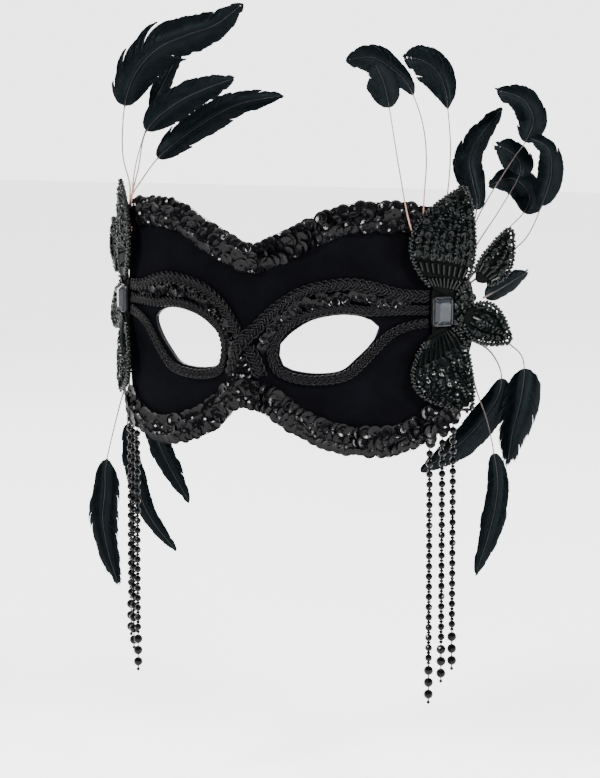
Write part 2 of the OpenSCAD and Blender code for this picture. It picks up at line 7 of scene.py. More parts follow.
import bmesh
import bpy
import numpy as np
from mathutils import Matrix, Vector


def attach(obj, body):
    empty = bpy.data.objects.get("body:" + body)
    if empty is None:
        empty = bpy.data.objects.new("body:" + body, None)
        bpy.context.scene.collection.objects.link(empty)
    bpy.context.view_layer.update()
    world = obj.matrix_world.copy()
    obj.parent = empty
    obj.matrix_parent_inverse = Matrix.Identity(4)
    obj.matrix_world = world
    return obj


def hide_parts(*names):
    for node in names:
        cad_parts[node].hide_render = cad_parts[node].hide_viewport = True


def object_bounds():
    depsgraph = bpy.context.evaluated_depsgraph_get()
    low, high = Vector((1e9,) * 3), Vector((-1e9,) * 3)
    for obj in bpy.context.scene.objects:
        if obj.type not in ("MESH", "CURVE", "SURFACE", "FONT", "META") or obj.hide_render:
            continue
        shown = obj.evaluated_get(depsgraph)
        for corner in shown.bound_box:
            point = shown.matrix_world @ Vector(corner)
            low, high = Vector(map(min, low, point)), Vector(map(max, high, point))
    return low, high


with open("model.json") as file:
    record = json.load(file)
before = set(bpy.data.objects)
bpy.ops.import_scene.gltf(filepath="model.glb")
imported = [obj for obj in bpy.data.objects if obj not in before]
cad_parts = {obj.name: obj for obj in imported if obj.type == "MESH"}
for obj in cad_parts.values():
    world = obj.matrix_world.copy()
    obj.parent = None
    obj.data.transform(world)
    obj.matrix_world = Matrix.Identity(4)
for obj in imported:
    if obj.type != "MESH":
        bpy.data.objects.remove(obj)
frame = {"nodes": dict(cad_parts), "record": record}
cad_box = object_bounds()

MM = 0.001
SIDES = ((-1, "left"), (1, "right"))
FULL_TURN = 6.3
rng = random.Random(11)
noise_rng = np.random.default_rng(23)

# ---- Camera

CAM_AZ, CAM_EL, CAM_DISTANCE = math.radians(26.5), math.radians(5.5), 1.2
CAM_TARGET = (0.0, 0.025, 0.0)
SENSOR_MM, LENS_MM, SHIFT_X, SHIFT_Y = 36, 122.9, 0.034, -0.082


def make_camera():
    data = bpy.data.cameras.new("camera")
    camera = bpy.data.objects.new("camera", data)
    bpy.context.scene.collection.objects.link(camera)
    back = (math.sin(CAM_AZ) * math.cos(CAM_EL), -math.cos(CAM_AZ) * math.cos(CAM_EL),
            math.sin(CAM_EL))
    camera.location = [CAM_TARGET[i] + back[i] * CAM_DISTANCE for i in range(3)]
    camera.rotation_euler = (math.pi / 2 - CAM_EL, 0, CAM_AZ)
    data.sensor_width, data.lens = SENSOR_MM, LENS_MM
    data.shift_x, data.shift_y = SHIFT_X, SHIFT_Y
    bpy.context.scene.camera = camera


make_camera()

# ---- The design's surface, outlines and routes (as in the CAD source)

HALF_W, WRAP_D, NOSE_RISE, NOSE_W = 91.0, 62.0, 9.0, 11.0
BROW_CURVE, BROW_Z = 0.0012, 5.0
LINING_BACK = 1.95
VELVET_TOP = 0.75
TRIM_LO = 1.2
TOP_PTS = [[0, 35.8], [5, 38.8], [10, 42.8], [16, 46.8], [22, 51.5], [28, 54.3], [36, 55.3],
           [44, 55], [50, 53.8], [55, 52.3], [62, 49.5]]
SIDE_PTS = [[62, 49.5], [63.5, 30], [64, 8], [63.5, -16], [62, -37.5]]
BOTTOM_PTS = [[62, -37.5], [57, -43.5], [51, -48.5], [44, -52], [36, -53.3], [28, -52.6],
              [21, -50], [14.5, -46], [9, -41], [5, -35.3], [0, -32.2]]
EYE_PTS = [[8.8, -10], [9.4, -5], [12.5, -0.3], [17, 4.2], [22, 6.6], [28, 7.6], [34, 6.2],
           [38, 2], [35.5, -5], [31, -11.5], [26.5, -17], [20, -18.6], [14, -18], [10, -15.8]]
EYE_MID = (22.5, -5.0)
INNER_BRAID_PTS = [[54, 9.6], [47, 9.8], [41, 9.6], [34.5, 9.4], [28, 10.4], [21.5, 9.3],
                   [15.3, 6.4], [10.2, 1.4], [7.5, -4.6], [6.9, -10.4], [8.4, -17.4],
                   [13.2, -20.7], [20, -21.4], [27.8, -19.2], [32.9, -13.2], [37.4, -6.2],
                   [41.6, -0.6], [47.4, 2.9], [54, 4.2]]
OUTER_BRAID_PTS = [[54, 15.6], [44.5, 16.6], [37.4, 19.2], [30, 21.1], [22.5, 20.2],
                   [15.8, 17.4], [10.2, 12.5], [5.6, 6.2], [2.4, -0.2], [-0.3, -5.6],
                   [-2.4, -11.5], [-3.5, -16.5], [-4, -20]]
EYE_SEQUIN_PTS = [[48, 13.1], [42, 13.2], [36, 14], [29, 15.3], [22, 14.5], [15.4, 11.2],
                  [10.2, 6.3], [6.6, 0.4], [4.7, -6], [4.6, -11]]
APPLIQUE_TURN = math.radians(52)
PETAL_OUT = 2.85
PETALS = [[[1, 7.6], [10, 53], 14.5, 5], [[18.2, 12.4], [34, 34], 5.8, -2.5],
          [[11.4, -1.6], [33.5, -13.5], 7.2, 1], [[-1.6, -7.6], [13.6, -43], 13.2, -6]]
STRANDS = [[53.5, -50.6, 21], [58.3, -46, 20], [62.8, -40.6, 20]]
BEAD_D, END_BEAD_D, BEAD_PITCH, END_PITCH = 3.3, 4.3, 4.6, 5.4
THREAD_D, STRAND_TOP, LAST_GAP, KNOT_D = 0.6, 1.5, 0.7, 1.6


def face(t, z):
    t, z = np.asarray(t, float), np.asarray(z, float)
    x = HALF_W * np.sin(np.radians(t))
    share = np.clip((30 - z) / 50, 0, 1)
    y = (WRAP_D * (1 - np.cos(np.radians(t))) - NOSE_RISE * share * np.exp(-(x / NOSE_W) ** 2)
         + BROW_CURVE * (z - BROW_Z) ** 2 + NOSE_RISE * 0.6)
    return np.stack([x, y, z + 0 * x], -1)


def unit(v):
    v = np.asarray(v, float)
    return v / np.maximum(np.linalg.norm(v, axis=-1, keepdims=True), 1e-9)


def face_normal(t, z):
    e = 0.5
    t, z = np.asarray(t, float), np.asarray(z, float)
    return unit(np.cross(face(t + e, z) - face(t - e, z), face(t, z + e) - face(t, z - e)))


def on_face(t, z, out):
    return face(t, z) + face_normal(t, z) * np.asarray(out, float)[..., None] \
        + np.array([0, -LINING_BACK, 0])


def arc_scale(t):
    t = np.radians(t)
    return np.hypot(HALF_W * np.cos(t), WRAP_D * np.sin(t)) * math.pi / 180


def spline(points, n, closed=False):
    """A smooth curve through the points, n steps for each span."""
    p = np.asarray(points, float)
    k = len(p)
    out = []
    for i in range(k if closed else k - 1):
        if closed:
            a, b, c, d = p[i - 1], p[i], p[(i + 1) % k], p[(i + 2) % k]
        else:
            a, b, c, d = p[max(i - 1, 0)], p[i], p[i + 1], p[min(i + 2, k - 1)]
        for j in range(n):
            s = j / n
            out.append(0.5 * (2 * b + (c - a) * s + (2 * a - 5 * b + 4 * c - d) * s * s
                              + (3 * b - a - 3 * c + d) * s ** 3))
    if not closed:
        out.append(p[-1])
    return np.array(out)


def mirrored(points):
    return [[-q[0], q[1]] for q in points]


class FaceLine:
    """A line on the face: at(s, d, out) is the point s mm along, d mm aside, out mm off it."""

    def __init__(self, points, n=16):
        self.q = spline(points, n)
        p = on_face(self.q[:, 0], self.q[:, 1], np.zeros(len(self.q)))
        self.s = np.concatenate([[0], np.cumsum(np.linalg.norm(np.diff(p, axis=0), axis=1))])
        self.length = self.s[-1]

    def q_at(self, s):
        return (np.interp(s, self.s, self.q[:, 0]), np.interp(s, self.s, self.q[:, 1]))

    def q_aside(self, s, d):
        s = np.asarray(s, float)
        t, z = self.q_at(s)
        a, b = self.q_at(np.maximum(s - 1.2, 0)), self.q_at(np.minimum(s + 1.2, self.length))
        m = arc_scale(t)
        u = unit(np.stack([(b[0] - a[0]) * m, b[1] - a[1]], -1))
        return t - u[..., 1] / m * d, z + u[..., 0] * d

    def at(self, s, d=0.0, out=0.0):
        s = np.asarray(s, float)
        t, z = self.q_aside(s, np.asarray(d, float))
        return on_face(t, z, np.asarray(out, float) + 0 * s)

    def frames(self, s, d=0.0, out=0.0):
        """Points and, for each, a 3x3 matrix whose columns are along, aside and off the face."""
        s = np.asarray(s, float)
        t, z = self.q_aside(s, np.asarray(d, float))
        p = on_face(t, z, np.asarray(out, float) + 0 * s)
        n = face_normal(t, z)
        g = self.at(np.minimum(s + 0.5, self.length), d, out) - self.at(np.maximum(s - 0.5, 0), d, out)
        a = unit(g - (g * n).sum(-1, keepdims=True) * n)
        return p, np.stack([a, np.cross(n, a), n], -1)


APPLIQUE_ORIGIN = on_face(58.0, 9.0, 0.0)


def applique(p, side):
    """Points [along, out, up] of the applique frame, in the mask's frame."""
    p = np.asarray(p, float)
    c, s = math.cos(APPLIQUE_TURN), math.sin(APPLIQUE_TURN)
    o = APPLIQUE_ORIGIN
    return np.stack([side * (o[0] + c * p[..., 0] + s * p[..., 1]),
                     o[1] + s * p[..., 0] - c * p[..., 1], o[2] + p[..., 2]], -1)


# ---- Mesh building

class Build:
    """Collects vertices and faces in millimetres, then makes one object of them in metres."""

    def __init__(self):
        self.verts, self.faces, self.tints, self.count = [], [], [], 0

    def add(self, verts, faces, tint=0.0):
        verts = np.asarray(verts, float).reshape(-1, 3)
        self.verts.append(verts)
        self.faces.extend([tuple(self.count + i for i in f) for f in faces])
        self.tints.append(tint + np.zeros(len(verts)))
        self.count += len(verts)

    def put(self, shape, place, axes):
        """A copy of one small mesh, at a place and turned to these axes."""
        self.add(place + shape[0] @ axes.T, shape[1])

    def add_applique(self, points, faces, side):
        """A solid in the applique frame, with its faces turned outwards on either side."""
        self.add(applique(np.array(points).reshape(-1, 3), side),
                 faces if side < 0 else [f[::-1] for f in faces])

    def make(self, name, material, body, slot_name, node=None, smooth=True, tint=False):
        """One object of all the meshes; node is the CAD node that it stands in for."""
        mesh = bpy.data.meshes.new(name)
        mesh.from_pydata((np.concatenate(self.verts) * MM).tolist(), [], self.faces)
        mesh.update()
        mesh.materials.append(material)
        mesh.polygons.foreach_set("use_smooth", [smooth] * len(mesh.polygons))
        if tint:
            layer = mesh.attributes.new("tint", "FLOAT", "POINT")
            layer.data.foreach_set("value", np.concatenate(self.tints).astype(np.float32))
        thing = bpy.data.objects.new(name, mesh)
        bpy.context.scene.collection.objects.link(thing)
        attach(thing, body)
        if node:
            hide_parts(node)
        return thing


def loft_faces(rings, sides, closed=False):
    """Quads between rings of the same number of points, capped unless the last ring meets the first."""
    faces = []
    for i in range(rings if closed else rings - 1):
        a, b = i * sides, ((i + 1) % rings) * sides
        for j in range(sides):
            k = (j + 1) % sides
            faces.append((a + j, a + k, b + k, b + j))
    if not closed:
        faces.append(tuple(range(sides - 1, -1, -1)))
        faces.append(tuple((rings - 1) * sides + j for j in range(sides)))
    return faces


def tube(build, line, radius, sides, up, lobes=0, lobe=0.0, turn=0.0, tint=0.0, closed=False):
    """A round cord along a line; lobes and turn give it the look of twisted plies."""
    line = np.asarray(line, float)
    n = len(line)
    if closed:
        t = unit(np.roll(line, -1, axis=0) - np.roll(line, 1, axis=0))
    else:
        t = unit(np.gradient(line, axis=0))
    a = unit(np.cross(np.broadcast_to(np.asarray(up, float), line.shape), t))
    b = np.cross(t, a)
    run = np.cumsum(np.linalg.norm(np.diff(line, axis=0, prepend=line[:1]), axis=1))
    ang = np.linspace(0, 2 * math.pi, sides, endpoint=False)[None, :]
    r = np.broadcast_to(np.asarray(radius, float), (n,))[:, None] \
        * (1 + lobe * np.cos(lobes * ang + turn * run[:, None]))
    ring = line[:, None, :] + (np.cos(ang) * r)[..., None] * a[:, None, :] \
        + (np.sin(ang) * r)[..., None] * b[:, None, :]
    shade = np.repeat(np.broadcast_to(np.asarray(tint, float), (n,)), sides)
    build.add(ring.reshape(-1, 3), loft_faces(n, sides, closed=closed), shade)


def turned(profile, sides, offset=False):
    """A closed ring-shaped solid turned round Z from a loop of (radius, height) points."""
    verts, n = [], len(profile)
    for i, (r, h) in enumerate(profile):
        shift = 0.5 if offset and i % 2 else 0.0
        for j in range(sides):
            a = 2 * math.pi * (j + shift) / sides
            verts.append((r * math.cos(a), r * math.sin(a), h))
    faces = []
    for i in range(n):
        k = (i + 1) % n
        for j in range(sides):
            m = (j + 1) % sides
            if not offset:
                faces.append((i * sides + j, i * sides + m, k * sides + m, k * sides + j))
            elif i % 2:
                faces.append((i * sides + j, i * sides + m, k * sides + m))
                faces.append((i * sides + j, k * sides + m, k * sides + j))
            else:
                faces.append((i * sides + j, i * sides + m, k * sides + j))
                faces.append((i * sides + m, k * sides + m, k * sides + j))
    return np.array(verts), faces


def cup_sequin(d, depth, sides=14):
    """A cup sequin: a thin faceted bowl with a hole in its middle, open towards +Z."""
    r = d / 2
    top = [(0.09 * d, 0.0), (0.42 * r, 0.0), (0.76 * r, depth * r * 0.55), (r, depth * r * 1.9)]
    low = [(x, h - 0.11) for x, h in reversed(top)]
    return turned([(x, h) for x, h in top] + low, sides)


def seed_bead(d, length, hole=0.28, sides=10):
    r, h = d / 2, length / 2
    ring = [(hole, -h * 0.82), (r * 0.62, -h), (r * 0.93, -h * 0.55), (r, 0), (r * 0.93, h * 0.55),
            (r * 0.62, h), (hole, h * 0.82)]
    return turned(ring, sides)


def bugle_bead(d, length):
    r, h = d / 2, length / 2
    return turned([(0.25, -h), (r * 0.9, -h), (r, -h * 0.94), (r, h * 0.94), (r * 0.9, h), (0.25, h)], 6)


def facet_bead(d, bore, sides):
    """A fire-polished round bead: rows of flat facets round a bore."""
    r, b = d / 2, bore / 2
    lat = [math.radians(x) for x in (-62, -38, -13, 13, 38, 62)]
    ring = [(b, -r * 0.93)] + [(r * math.cos(x), r * math.sin(x)) for x in lat] + [(b, r * 0.93)]
    return turned(ring, sides, offset=True)


def axes_from(z_axis, hint=(0.0, 0.0, 1.0)):
    z = unit(z_axis)
    h = np.asarray(hint, float)
    if abs(float(z @ h)) > 0.95:
        h = np.array([1.0, 0.0, 0.0])
    x = unit(np.cross(h, z))
    return np.stack([x, np.cross(z, x), z], -1)


def rot(axis, angle):
    c, s = math.cos(angle), math.sin(angle)
    if axis == "x":
        return np.array([[1, 0, 0], [0, c, -s], [0, s, c]])
    if axis == "y":
        return np.array([[c, 0, s], [0, 1, 0], [-s, 0, c]])
    return np.array([[c, -s, 0], [s, c, 0], [0, 0, 1]])


# ---- Materials

def new_material(name):
    m = bpy.data.materials.new(name)
    m.use_nodes = True
    return m, m.node_tree, m.node_tree.nodes["Principled BSDF"]


def connect(nt, node, inputs):
    """Sets a node's inputs: a socket is linked, anything else is the input's value."""
    for key, value in inputs.items():
        if isinstance(value, bpy.types.NodeSocket):
            nt.links.new(value, node.inputs[key])
        else:
            node.inputs[key].default_value = value


def shader_node(nt, kind, inputs, **settings):
    node = nt.nodes.new("ShaderNode" + kind)
    for key, value in settings.items():
        setattr(node, key, value)
    connect(nt, node, inputs)
    return node


def noise(nt, scale, detail):
    coord = shader_node(nt, "TexCoord", {})
    return shader_node(nt, "TexNoise", {"Vector": coord.outputs["Object"], "Scale": scale,
                                        "Detail": detail, "Roughness": 0.6}).outputs["Fac"]


def ramp(nt, source, dark, light, lo=0.3, hi=0.7):
    r = shader_node(nt, "ValToRGB", {"Fac": source})
    for stop, place, colour in zip(r.color_ramp.elements, (lo, hi), (dark, light)):
        stop.position = place
        stop.color = (*colour, 1)
    return r.outputs["Color"]


def span(nt, source, lo, hi):
    return shader_node(nt, "MapRange", {"Value": source, "From Min": 0.25, "From Max": 0.75,
                                        "To Min": lo, "To Max": hi}).outputs["Result"]


def mix_colour(nt, share, a, b, blend="MIX"):
    node = shader_node(nt, "Mix", {}, data_type="RGBA", blend_type=blend)
    connect(nt, node, {0: share, 6: a, 7: b})
    return node.outputs[2]


def bump(nt, shader, source, strength, distance):
    made = shader_node(nt, "Bump", {"Strength": strength, "Distance": distance, "Height": source})
    connect(nt, shader, {"Normal": made.outputs["Normal"]})


def vertex_tint(nt):
    return shader_node(nt, "Attribute", {}, attribute_name="tint").outputs["Fac"]


def fabric(name, dark, light, scale, rough, sheen, sheen_rough, sheen_tint, spec, height, blotch):
    """Cloth: fine grain and soft blotches in the colour, roughness that follows the blotches."""
    m, nt, s = new_material(name)
    grain = noise(nt, scale, 3)
    patches = noise(nt, blotch, 2)
    half = shader_node(nt, "Math", {0: patches, 1: 0.5}, operation="MULTIPLY")
    both = shader_node(nt, "Math", {0: grain, 1: 0.5, 2: half.outputs[0]}, operation="MULTIPLY_ADD")
    connect(nt, s, {"Base Color": ramp(nt, both.outputs[0], dark, light, 0.35, 0.65),
                    "Roughness": span(nt, patches, *rough), "Specular IOR Level": spec,
                    "Sheen Weight": sheen, "Sheen Roughness": sheen_rough,
                    "Sheen Tint": (*sheen_tint, 1)})
    bump(nt, s, grain, 0.6, height)
    return m


def gloss(name, dark, light, rough, scale, spec, coat=0.0, metallic=0.0, height=0.00002,
          bump_scale=900.0):
    """Moulded plastic, glass or metal: faint mottling and a slightly uneven polish."""
    m, nt, s = new_material(name)
    connect(nt, s, {"Base Color": ramp(nt, noise(nt, scale, 3), dark, light),
                    "Roughness": span(nt, noise(nt, bump_scale, 3), *rough),
                    "Specular IOR Level": spec, "Coat Weight": coat, "Coat Roughness": 0.06,
                    "Metallic": metallic})
    bump(nt, s, noise(nt, bump_scale, 2), 0.25, height)
    return m


GREY = (0.7, 0.7, 0.7)
VELVET = fabric("velvet", (0.0004, 0.0004, 0.0006), (0.0016, 0.0016, 0.0024), 5200, (0.9, 1.0),
                0.008, 0.45, (0.55, 0.6, 0.9), 0.02, 0.00012, 60)
LINING = fabric("lining", (0.006, 0.006, 0.007), (0.018, 0.018, 0.02), 2600, (0.85, 1.0),
                0.06, 0.6, (0.7, 0.7, 0.75), 0.1, 0.00016, 140)
SHELL = gloss("shell", (0.008, 0.008, 0.009), (0.016, 0.016, 0.018), (0.35, 0.5), 400, 0.2)
SEQUIN = gloss("sequins", (0.0006, 0.0006, 0.0008), (0.0022, 0.0022, 0.0028), (0.1, 0.24), 220, 0.1)
NET = fabric("net", (0.001, 0.001, 0.001), (0.004, 0.004, 0.0045), 3800, (0.6, 0.8),
             0.01, 0.5, GREY, 0.08, 0.0001, 300)
CORD = fabric("braid", (0.0005, 0.0005, 0.0007), (0.002, 0.002, 0.0026), 3000, (0.26, 0.4),
              0.006, 0.35, (0.7, 0.72, 0.9), 0.08, 0.00008, 500)
FELT = fabric("felt", (0.0006, 0.0006, 0.0008), (0.002, 0.0022, 0.0022), 2400, (0.85, 1.0),
              0.006, 0.5, GREY, 0.05, 0.00018, 200)
BEADWORK = gloss("beadwork", (0.0006, 0.0009, 0.0009), (0.002, 0.0034, 0.0032), (0.1, 0.24), 260,
                 0.11)
SEED = gloss("seed_beads", (0.0006, 0.0009, 0.0009), (0.0024, 0.0034, 0.0034), (0.06, 0.16), 500,
             0.18)
SETTING = gloss("setting", (0.006, 0.006, 0.007), (0.02, 0.02, 0.022), (0.25, 0.4), 700, 0.4,
                metallic=0.5)
JEWEL = gloss("jewel", (0.012, 0.014, 0.017), (0.02, 0.023, 0.028), (0.05, 0.10), 120, 0.25,
              coat=0.1, metallic=0.2, height=0.00001, bump_scale=300)
EYELET = gloss("eyelet", (0.42, 0.42, 0.43), (0.6, 0.6, 0.61), (0.25, 0.4), 900, 0.5, metallic=1.0)
THREAD = fabric("thread", (0.003, 0.003, 0.0035), (0.012, 0.012, 0.013), 6000, (0.5, 0.7),
                0.04, 0.4, GREY, 0.2, 0.00005, 900)
BEAD = gloss("beads", (0.0004, 0.0004, 0.0005), (0.0014, 0.0014, 0.0018), (0.06, 0.13), 400, 0.12)


def feather_material():
    m, nt, s = new_material("feather")
    base = ramp(nt, noise(nt, 320, 5), (0.0004, 0.0006, 0.0008), (0.0013, 0.0024, 0.003), 0.35, 0.7)
    connect(nt, s, {"Base Color": mix_colour(nt, vertex_tint(nt), base, (0.0016, 0.0034, 0.0042, 1)),
                    "Roughness": span(nt, noise(nt, 700, 3), 0.28, 0.45),
                    "Specular IOR Level": 0.055, "Specular Tint": (0.75, 0.92, 1.0, 1),
                    "Sheen Weight": 0.0015, "Sheen Tint": (0.3, 0.75, 0.85, 1),
                    "Sheen Roughness": 0.35})
    bump(nt, s, noise(nt, 2600, 2), 0.3, 0.00005)
    return m


def quill_material():
    """Black where the tint is 0, through brown, to bare tan quill where it is 1."""
    m, nt, s = new_material("quill")
    shades = shader_node(nt, "ValToRGB", {"Fac": vertex_tint(nt)})
    stops = shades.color_ramp.elements
    stops[0].position, stops[1].position = 0.0, 1.0
    stops[0].color, stops[1].color = (0.004, 0.0045, 0.005, 1), (0.42, 0.235, 0.19, 1)
    stops.new(0.45).color = (0.09, 0.06, 0.055, 1)
    streak = ramp(nt, noise(nt, 900, 3), (0.75, 0.75, 0.75), (1.0, 1.0, 1.0))
    connect(nt, s, {"Base Color": mix_colour(nt, 1.0, shades.outputs["Color"], streak, "MULTIPLY"),
                    "Roughness": span(nt, noise(nt, 1200, 2), 0.3, 0.48),
                    "Specular IOR Level": 0.2})
    bump(nt, s, noise(nt, 1800, 2), 0.2, 0.00003)
    return m


FEATHER = feather_material()
QUILL = quill_material()

# ---- Bead strands: a thread as a cord, with beads and spacers on it

BEAD_BORE, SPACER_BORE = 0.9, 0.42
SPACER_SIZE, KNOT_LENGTH, KNOT_UP = (1.95, 1.1), 1.3, 0.6
STITCH_OUT = 1.8
END_BEADS = 3


def stitch_at(k, side):
    return on_face(STRANDS[k][0], STRANDS[k][1], STITCH_OUT) * [side, 1, 1]


def hanging_strand(k, side):
    label = ("left" if side < 0 else "right") + "_" + str(k + 1)
    body = "strand_" + label
    top = stitch_at(k, side) - np.array([0, 0, STRAND_TOP])
    count = STRANDS[k][2]
    length = count * BEAD_PITCH + LAST_GAP + END_BEADS * END_PITCH + KNOT_D
    z = np.linspace(0, -length, 40)
    line = top + np.stack([0 * z, 0 * z, z], -1)
    cord = Build()
    tube(cord, line, THREAD_D / 2, 10, up=(0, 1, 0), lobes=2, lobe=0.08, turn=4.0)
    thread = cord.make("thread_cord_" + label, THREAD, body, "thread", "thread_" + label)
    beads = Build()
    small, big = facet_bead(BEAD_D, BEAD_BORE, 9), facet_bead(END_BEAD_D, BEAD_BORE, 10)
    spacer = seed_bead(*SPACER_SIZE, SPACER_BORE)
    knot = seed_bead(KNOT_D, KNOT_LENGTH, SPACER_BORE)

    def put(shape, down):
        spin = rot("z", rng.uniform(0, FULL_TURN)) @ rot("x", rng.uniform(-0.05, 0.05))
        beads.put(shape, top + np.array([0, 0, -down]), spin)

    for i in range(count):
        put(small, (i + 0.5) * BEAD_PITCH)
        put(spacer, (i + 1) * BEAD_PITCH)
    for i in range(END_BEADS):
        put(big, count * BEAD_PITCH + LAST_GAP + (i + 0.5) * END_PITCH)
    put(knot, length - KNOT_UP)
    strung = beads.make("strung_beads_" + label, BEAD, body, "bead", "beads_" + label, smooth=False)


for strand_side in (-1, 1):
    for strand_k in range(3):
        hanging_strand(strand_k, strand_side)

# ---- Velvet cover and lining

# Degrees of wrap weigh this much more than millimetres of height when lines are spaced.
WRAP_WEIGHT = 1.5
CLOTH_STEPS = [0, 0.02, 0.06, 0.13, 0.22, 0.32, 0.43, 0.54, 0.65, 0.76, 0.86, 0.94, 0.98, 1]
HEM, WELD_DISTANCE = 0.06, 0.00002


def ray_hit(outline, ang):
    """How far the ray from the eye's middle at this angle runs to the eye's outline."""
    mid = np.array(EYE_MID)
    p, q = outline - mid, np.roll(outline, -1, axis=0) - mid
    d = np.array([math.cos(ang) / WRAP_WEIGHT, math.sin(ang)])
    e = q - p
    den = d[0] * e[:, 1] - d[1] * e[:, 0]
    den = np.where(abs(den) < 1e-9, 1e-9, den)
    r = (p[:, 0] * e[:, 1] - p[:, 1] * e[:, 0]) / den
    s = (p[:, 0] * d[1] - p[:, 1] * d[0]) / den
    hit = (s >= -1e-6) & (s <= 1 + 1e-6) & (r > 0)
    return mid + d * r[hit].max()


def evenly(points, n):
    """n points along a polyline, by arc length, without its last point."""
    p = np.asarray(points, float)
    run = np.concatenate([[0], np.cumsum(np.hypot(np.diff(p[:, 0]) * WRAP_WEIGHT, np.diff(p[:, 1])))])
    s = np.linspace(0, run[-1], n, endpoint=False)
    return np.stack([np.interp(s, run, p[:, 0]), np.interp(s, run, p[:, 1])], -1)


def half_outline():
    low, high = BOTTOM_PTS[-1][1], TOP_PTS[0][1]
    middle = [[0.0, low + (high - low) * k / 24] for k in range(24)]
    return np.concatenate([middle, evenly(spline(TOP_PTS, 12), 72), evenly(spline(SIDE_PTS, 12), 36),
                           evenly(spline(BOTTOM_PTS, 12), 76)])


def ripple(q, size):
    """A soft unevenness that depends only on the place on the face."""
    t, z = q[..., 0], q[..., 1]
    return size * (np.sin(t * 0.55 + z * 0.21) * np.sin(z * 0.33 - t * 0.17)
                   + 0.5 * np.sin(t * 1.7 + 1.3) * np.sin(z * 0.9 + 0.4))


def cloth_layer(name, front, back, inset, wave, material, slot_name, node):
    """A cloth glued to the shell: a closed thin sheet from the eye edges to the outline."""
    build = Build()
    outline = half_outline()
    eye = spline(EYE_PTS, 10, closed=True)
    ring = np.array([ray_hit(eye, math.atan2(q[1] - EYE_MID[1], (q[0] - EYE_MID[0]) * WRAP_WEIGHT))
                     for q in outline])
    n, k = len(outline), len(CLOTH_STEPS)
    seam = outline[:, 0] == 0
    gap = outline - ring
    pull = gap / np.linalg.norm(gap * [WRAP_WEIGHT, 1], axis=1, keepdims=True) * inset

    def row(f, side, out, on_top):
        q = ring + gap * f + (f == 0) * pull - (f == 1) * np.where(seam, 0, 1)[:, None] * pull
        lift = out + (ripple(q, wave) if on_top else 0)
        if on_top:
            edge = np.where(seam, 1.0, min((1 - f) / HEM, 1))
            lift = lift - 0.35 * (1 - np.minimum(min(f / HEM, 1), edge)) ** 2
        return on_face(side * q[:, 0], q[:, 1], lift)

    for side in (-1, 1):
        verts = [row(f, side, out, on_top) for out, on_top in ((front, True), (back, False))
                 for f in CLOTH_STEPS]
        faces = []

        def quad(*corners):
            faces.append(corners if side < 0 else corners[::-1])
        under, rim = k * n, (k - 1) * n
        for i in range(0, rim, n):
            for j in range(n):
                m = (j + 1) % n
                quad(i + j, i + m, i + n + m, i + n + j)
                quad(under + i + j, under + i + n + j, under + i + n + m, under + i + m)
        for j in range(n):
            m = (j + 1) % n
            quad(j, under + j, under + m, m)
            if not (seam[j] and seam[m]):
                quad(rim + j, rim + m, under + rim + m, under + rim + j)
        build.add(np.concatenate(verts), faces)
    mesh_object = build.make(name, material, "mask", slot_name, node)
    weld(mesh_object)
    return mesh_object


def weld(thing):
    """Joins the two halves at the seam, with every face turned outwards."""
    bm = bmesh.new()
    bm.from_mesh(thing.data)
    bmesh.ops.remove_doubles(bm, verts=bm.verts, dist=WELD_DISTANCE)
    bmesh.ops.recalc_face_normals(bm, faces=bm.faces)
    bm.to_mesh(thing.data)
    bm.free()


def open_area(outer, holes):
    """Flat area in square metres of the cut, with the wrap laid out to its arc length."""
    turn = np.linspace(0, 90, 361)
    arc = np.concatenate([[0], np.cumsum(arc_scale((turn[1:] + turn[:-1]) / 2) * (turn[1] - turn[0]))])

    def area(points):
        x, z = np.interp(points[:, 0], turn, arc), points[:, 1]
        return abs(0.5 * np.sum(x * np.roll(z, -1) - z * np.roll(x, -1)))
    return (2 * area(outer) - 2 * area(holes)) * MM * MM


velvet = cloth_layer("velvet_face", VELVET_TOP, 0.08, 0.0, 0.05, VELVET, "velvet", "velvet_cover")
lining = cloth_layer("felt_lining", -1.27, -LINING_BACK, 0.25, 0.0, LINING, "lining", "back_lining")
cut = open_area(half_outline(), spline(EYE_PTS, 10, closed=True))

# ---- Sequin trims

TRIM_W, TRIM_INSET, TRIM_PAD = 10.5, 4.6, 0.45
TRIM_SEQUIN, TRIM_PITCH, TRIM_LEAN = 6.5, 3.5, 0.2
TRIM_ROWS = [(-3.6, 0.05, 0.0), (3.6, 0.05, 0.5), (0.0, 0.62, 0.25)]
PICOT_ASIDE, PICOT_PITCH, PICOT_SIZE = 5.6, 1.9, 0.75


def sequin_rows(build, line, out, fold, stitches):
    """Shingled rows; with fold -1 the first half of the line leans the other way."""
    shape = cup_sequin(TRIM_SEQUIN, 0.085, 16)
    for aside, lift, phase in TRIM_ROWS:
        s = (np.arange(int(line.length / TRIM_PITCH)) + phase) * TRIM_PITCH
        s = s[s < line.length - TRIM_SEQUIN * 0.2]
        s = s + noise_rng.uniform(-0.25, 0.25, len(s)) * TRIM_PITCH
        a = aside + noise_rng.uniform(-0.7, 0.7, len(s))
        p, f = line.frames(np.clip(s, 0.5, line.length - 0.5), a, out + lift)
        for i in range(len(s)):
            way = fold if s[i] < line.length / 2 else 1
            tilt = rot("y", -TRIM_LEAN * way + rng.uniform(-0.24, 0.24)) \
                @ rot("x", -0.07 * aside + rng.uniform(-0.26, 0.26)) \
                @ rot("z", rng.uniform(0, FULL_TURN))
            build.put(shape, p[i], f[i] @ tilt)
            if rng.random() < 0.8:
                top = p[i] + f[i] @ np.array([0, 0, 0.25])
                across = f[i] @ np.array([0.75, 0.2, -0.1])
                bar = np.array([top - across, top + 0.12 * f[i][:, 2], top + across])
                tube(stitches, bar, 0.13, 5, up=f[i][:, 2])


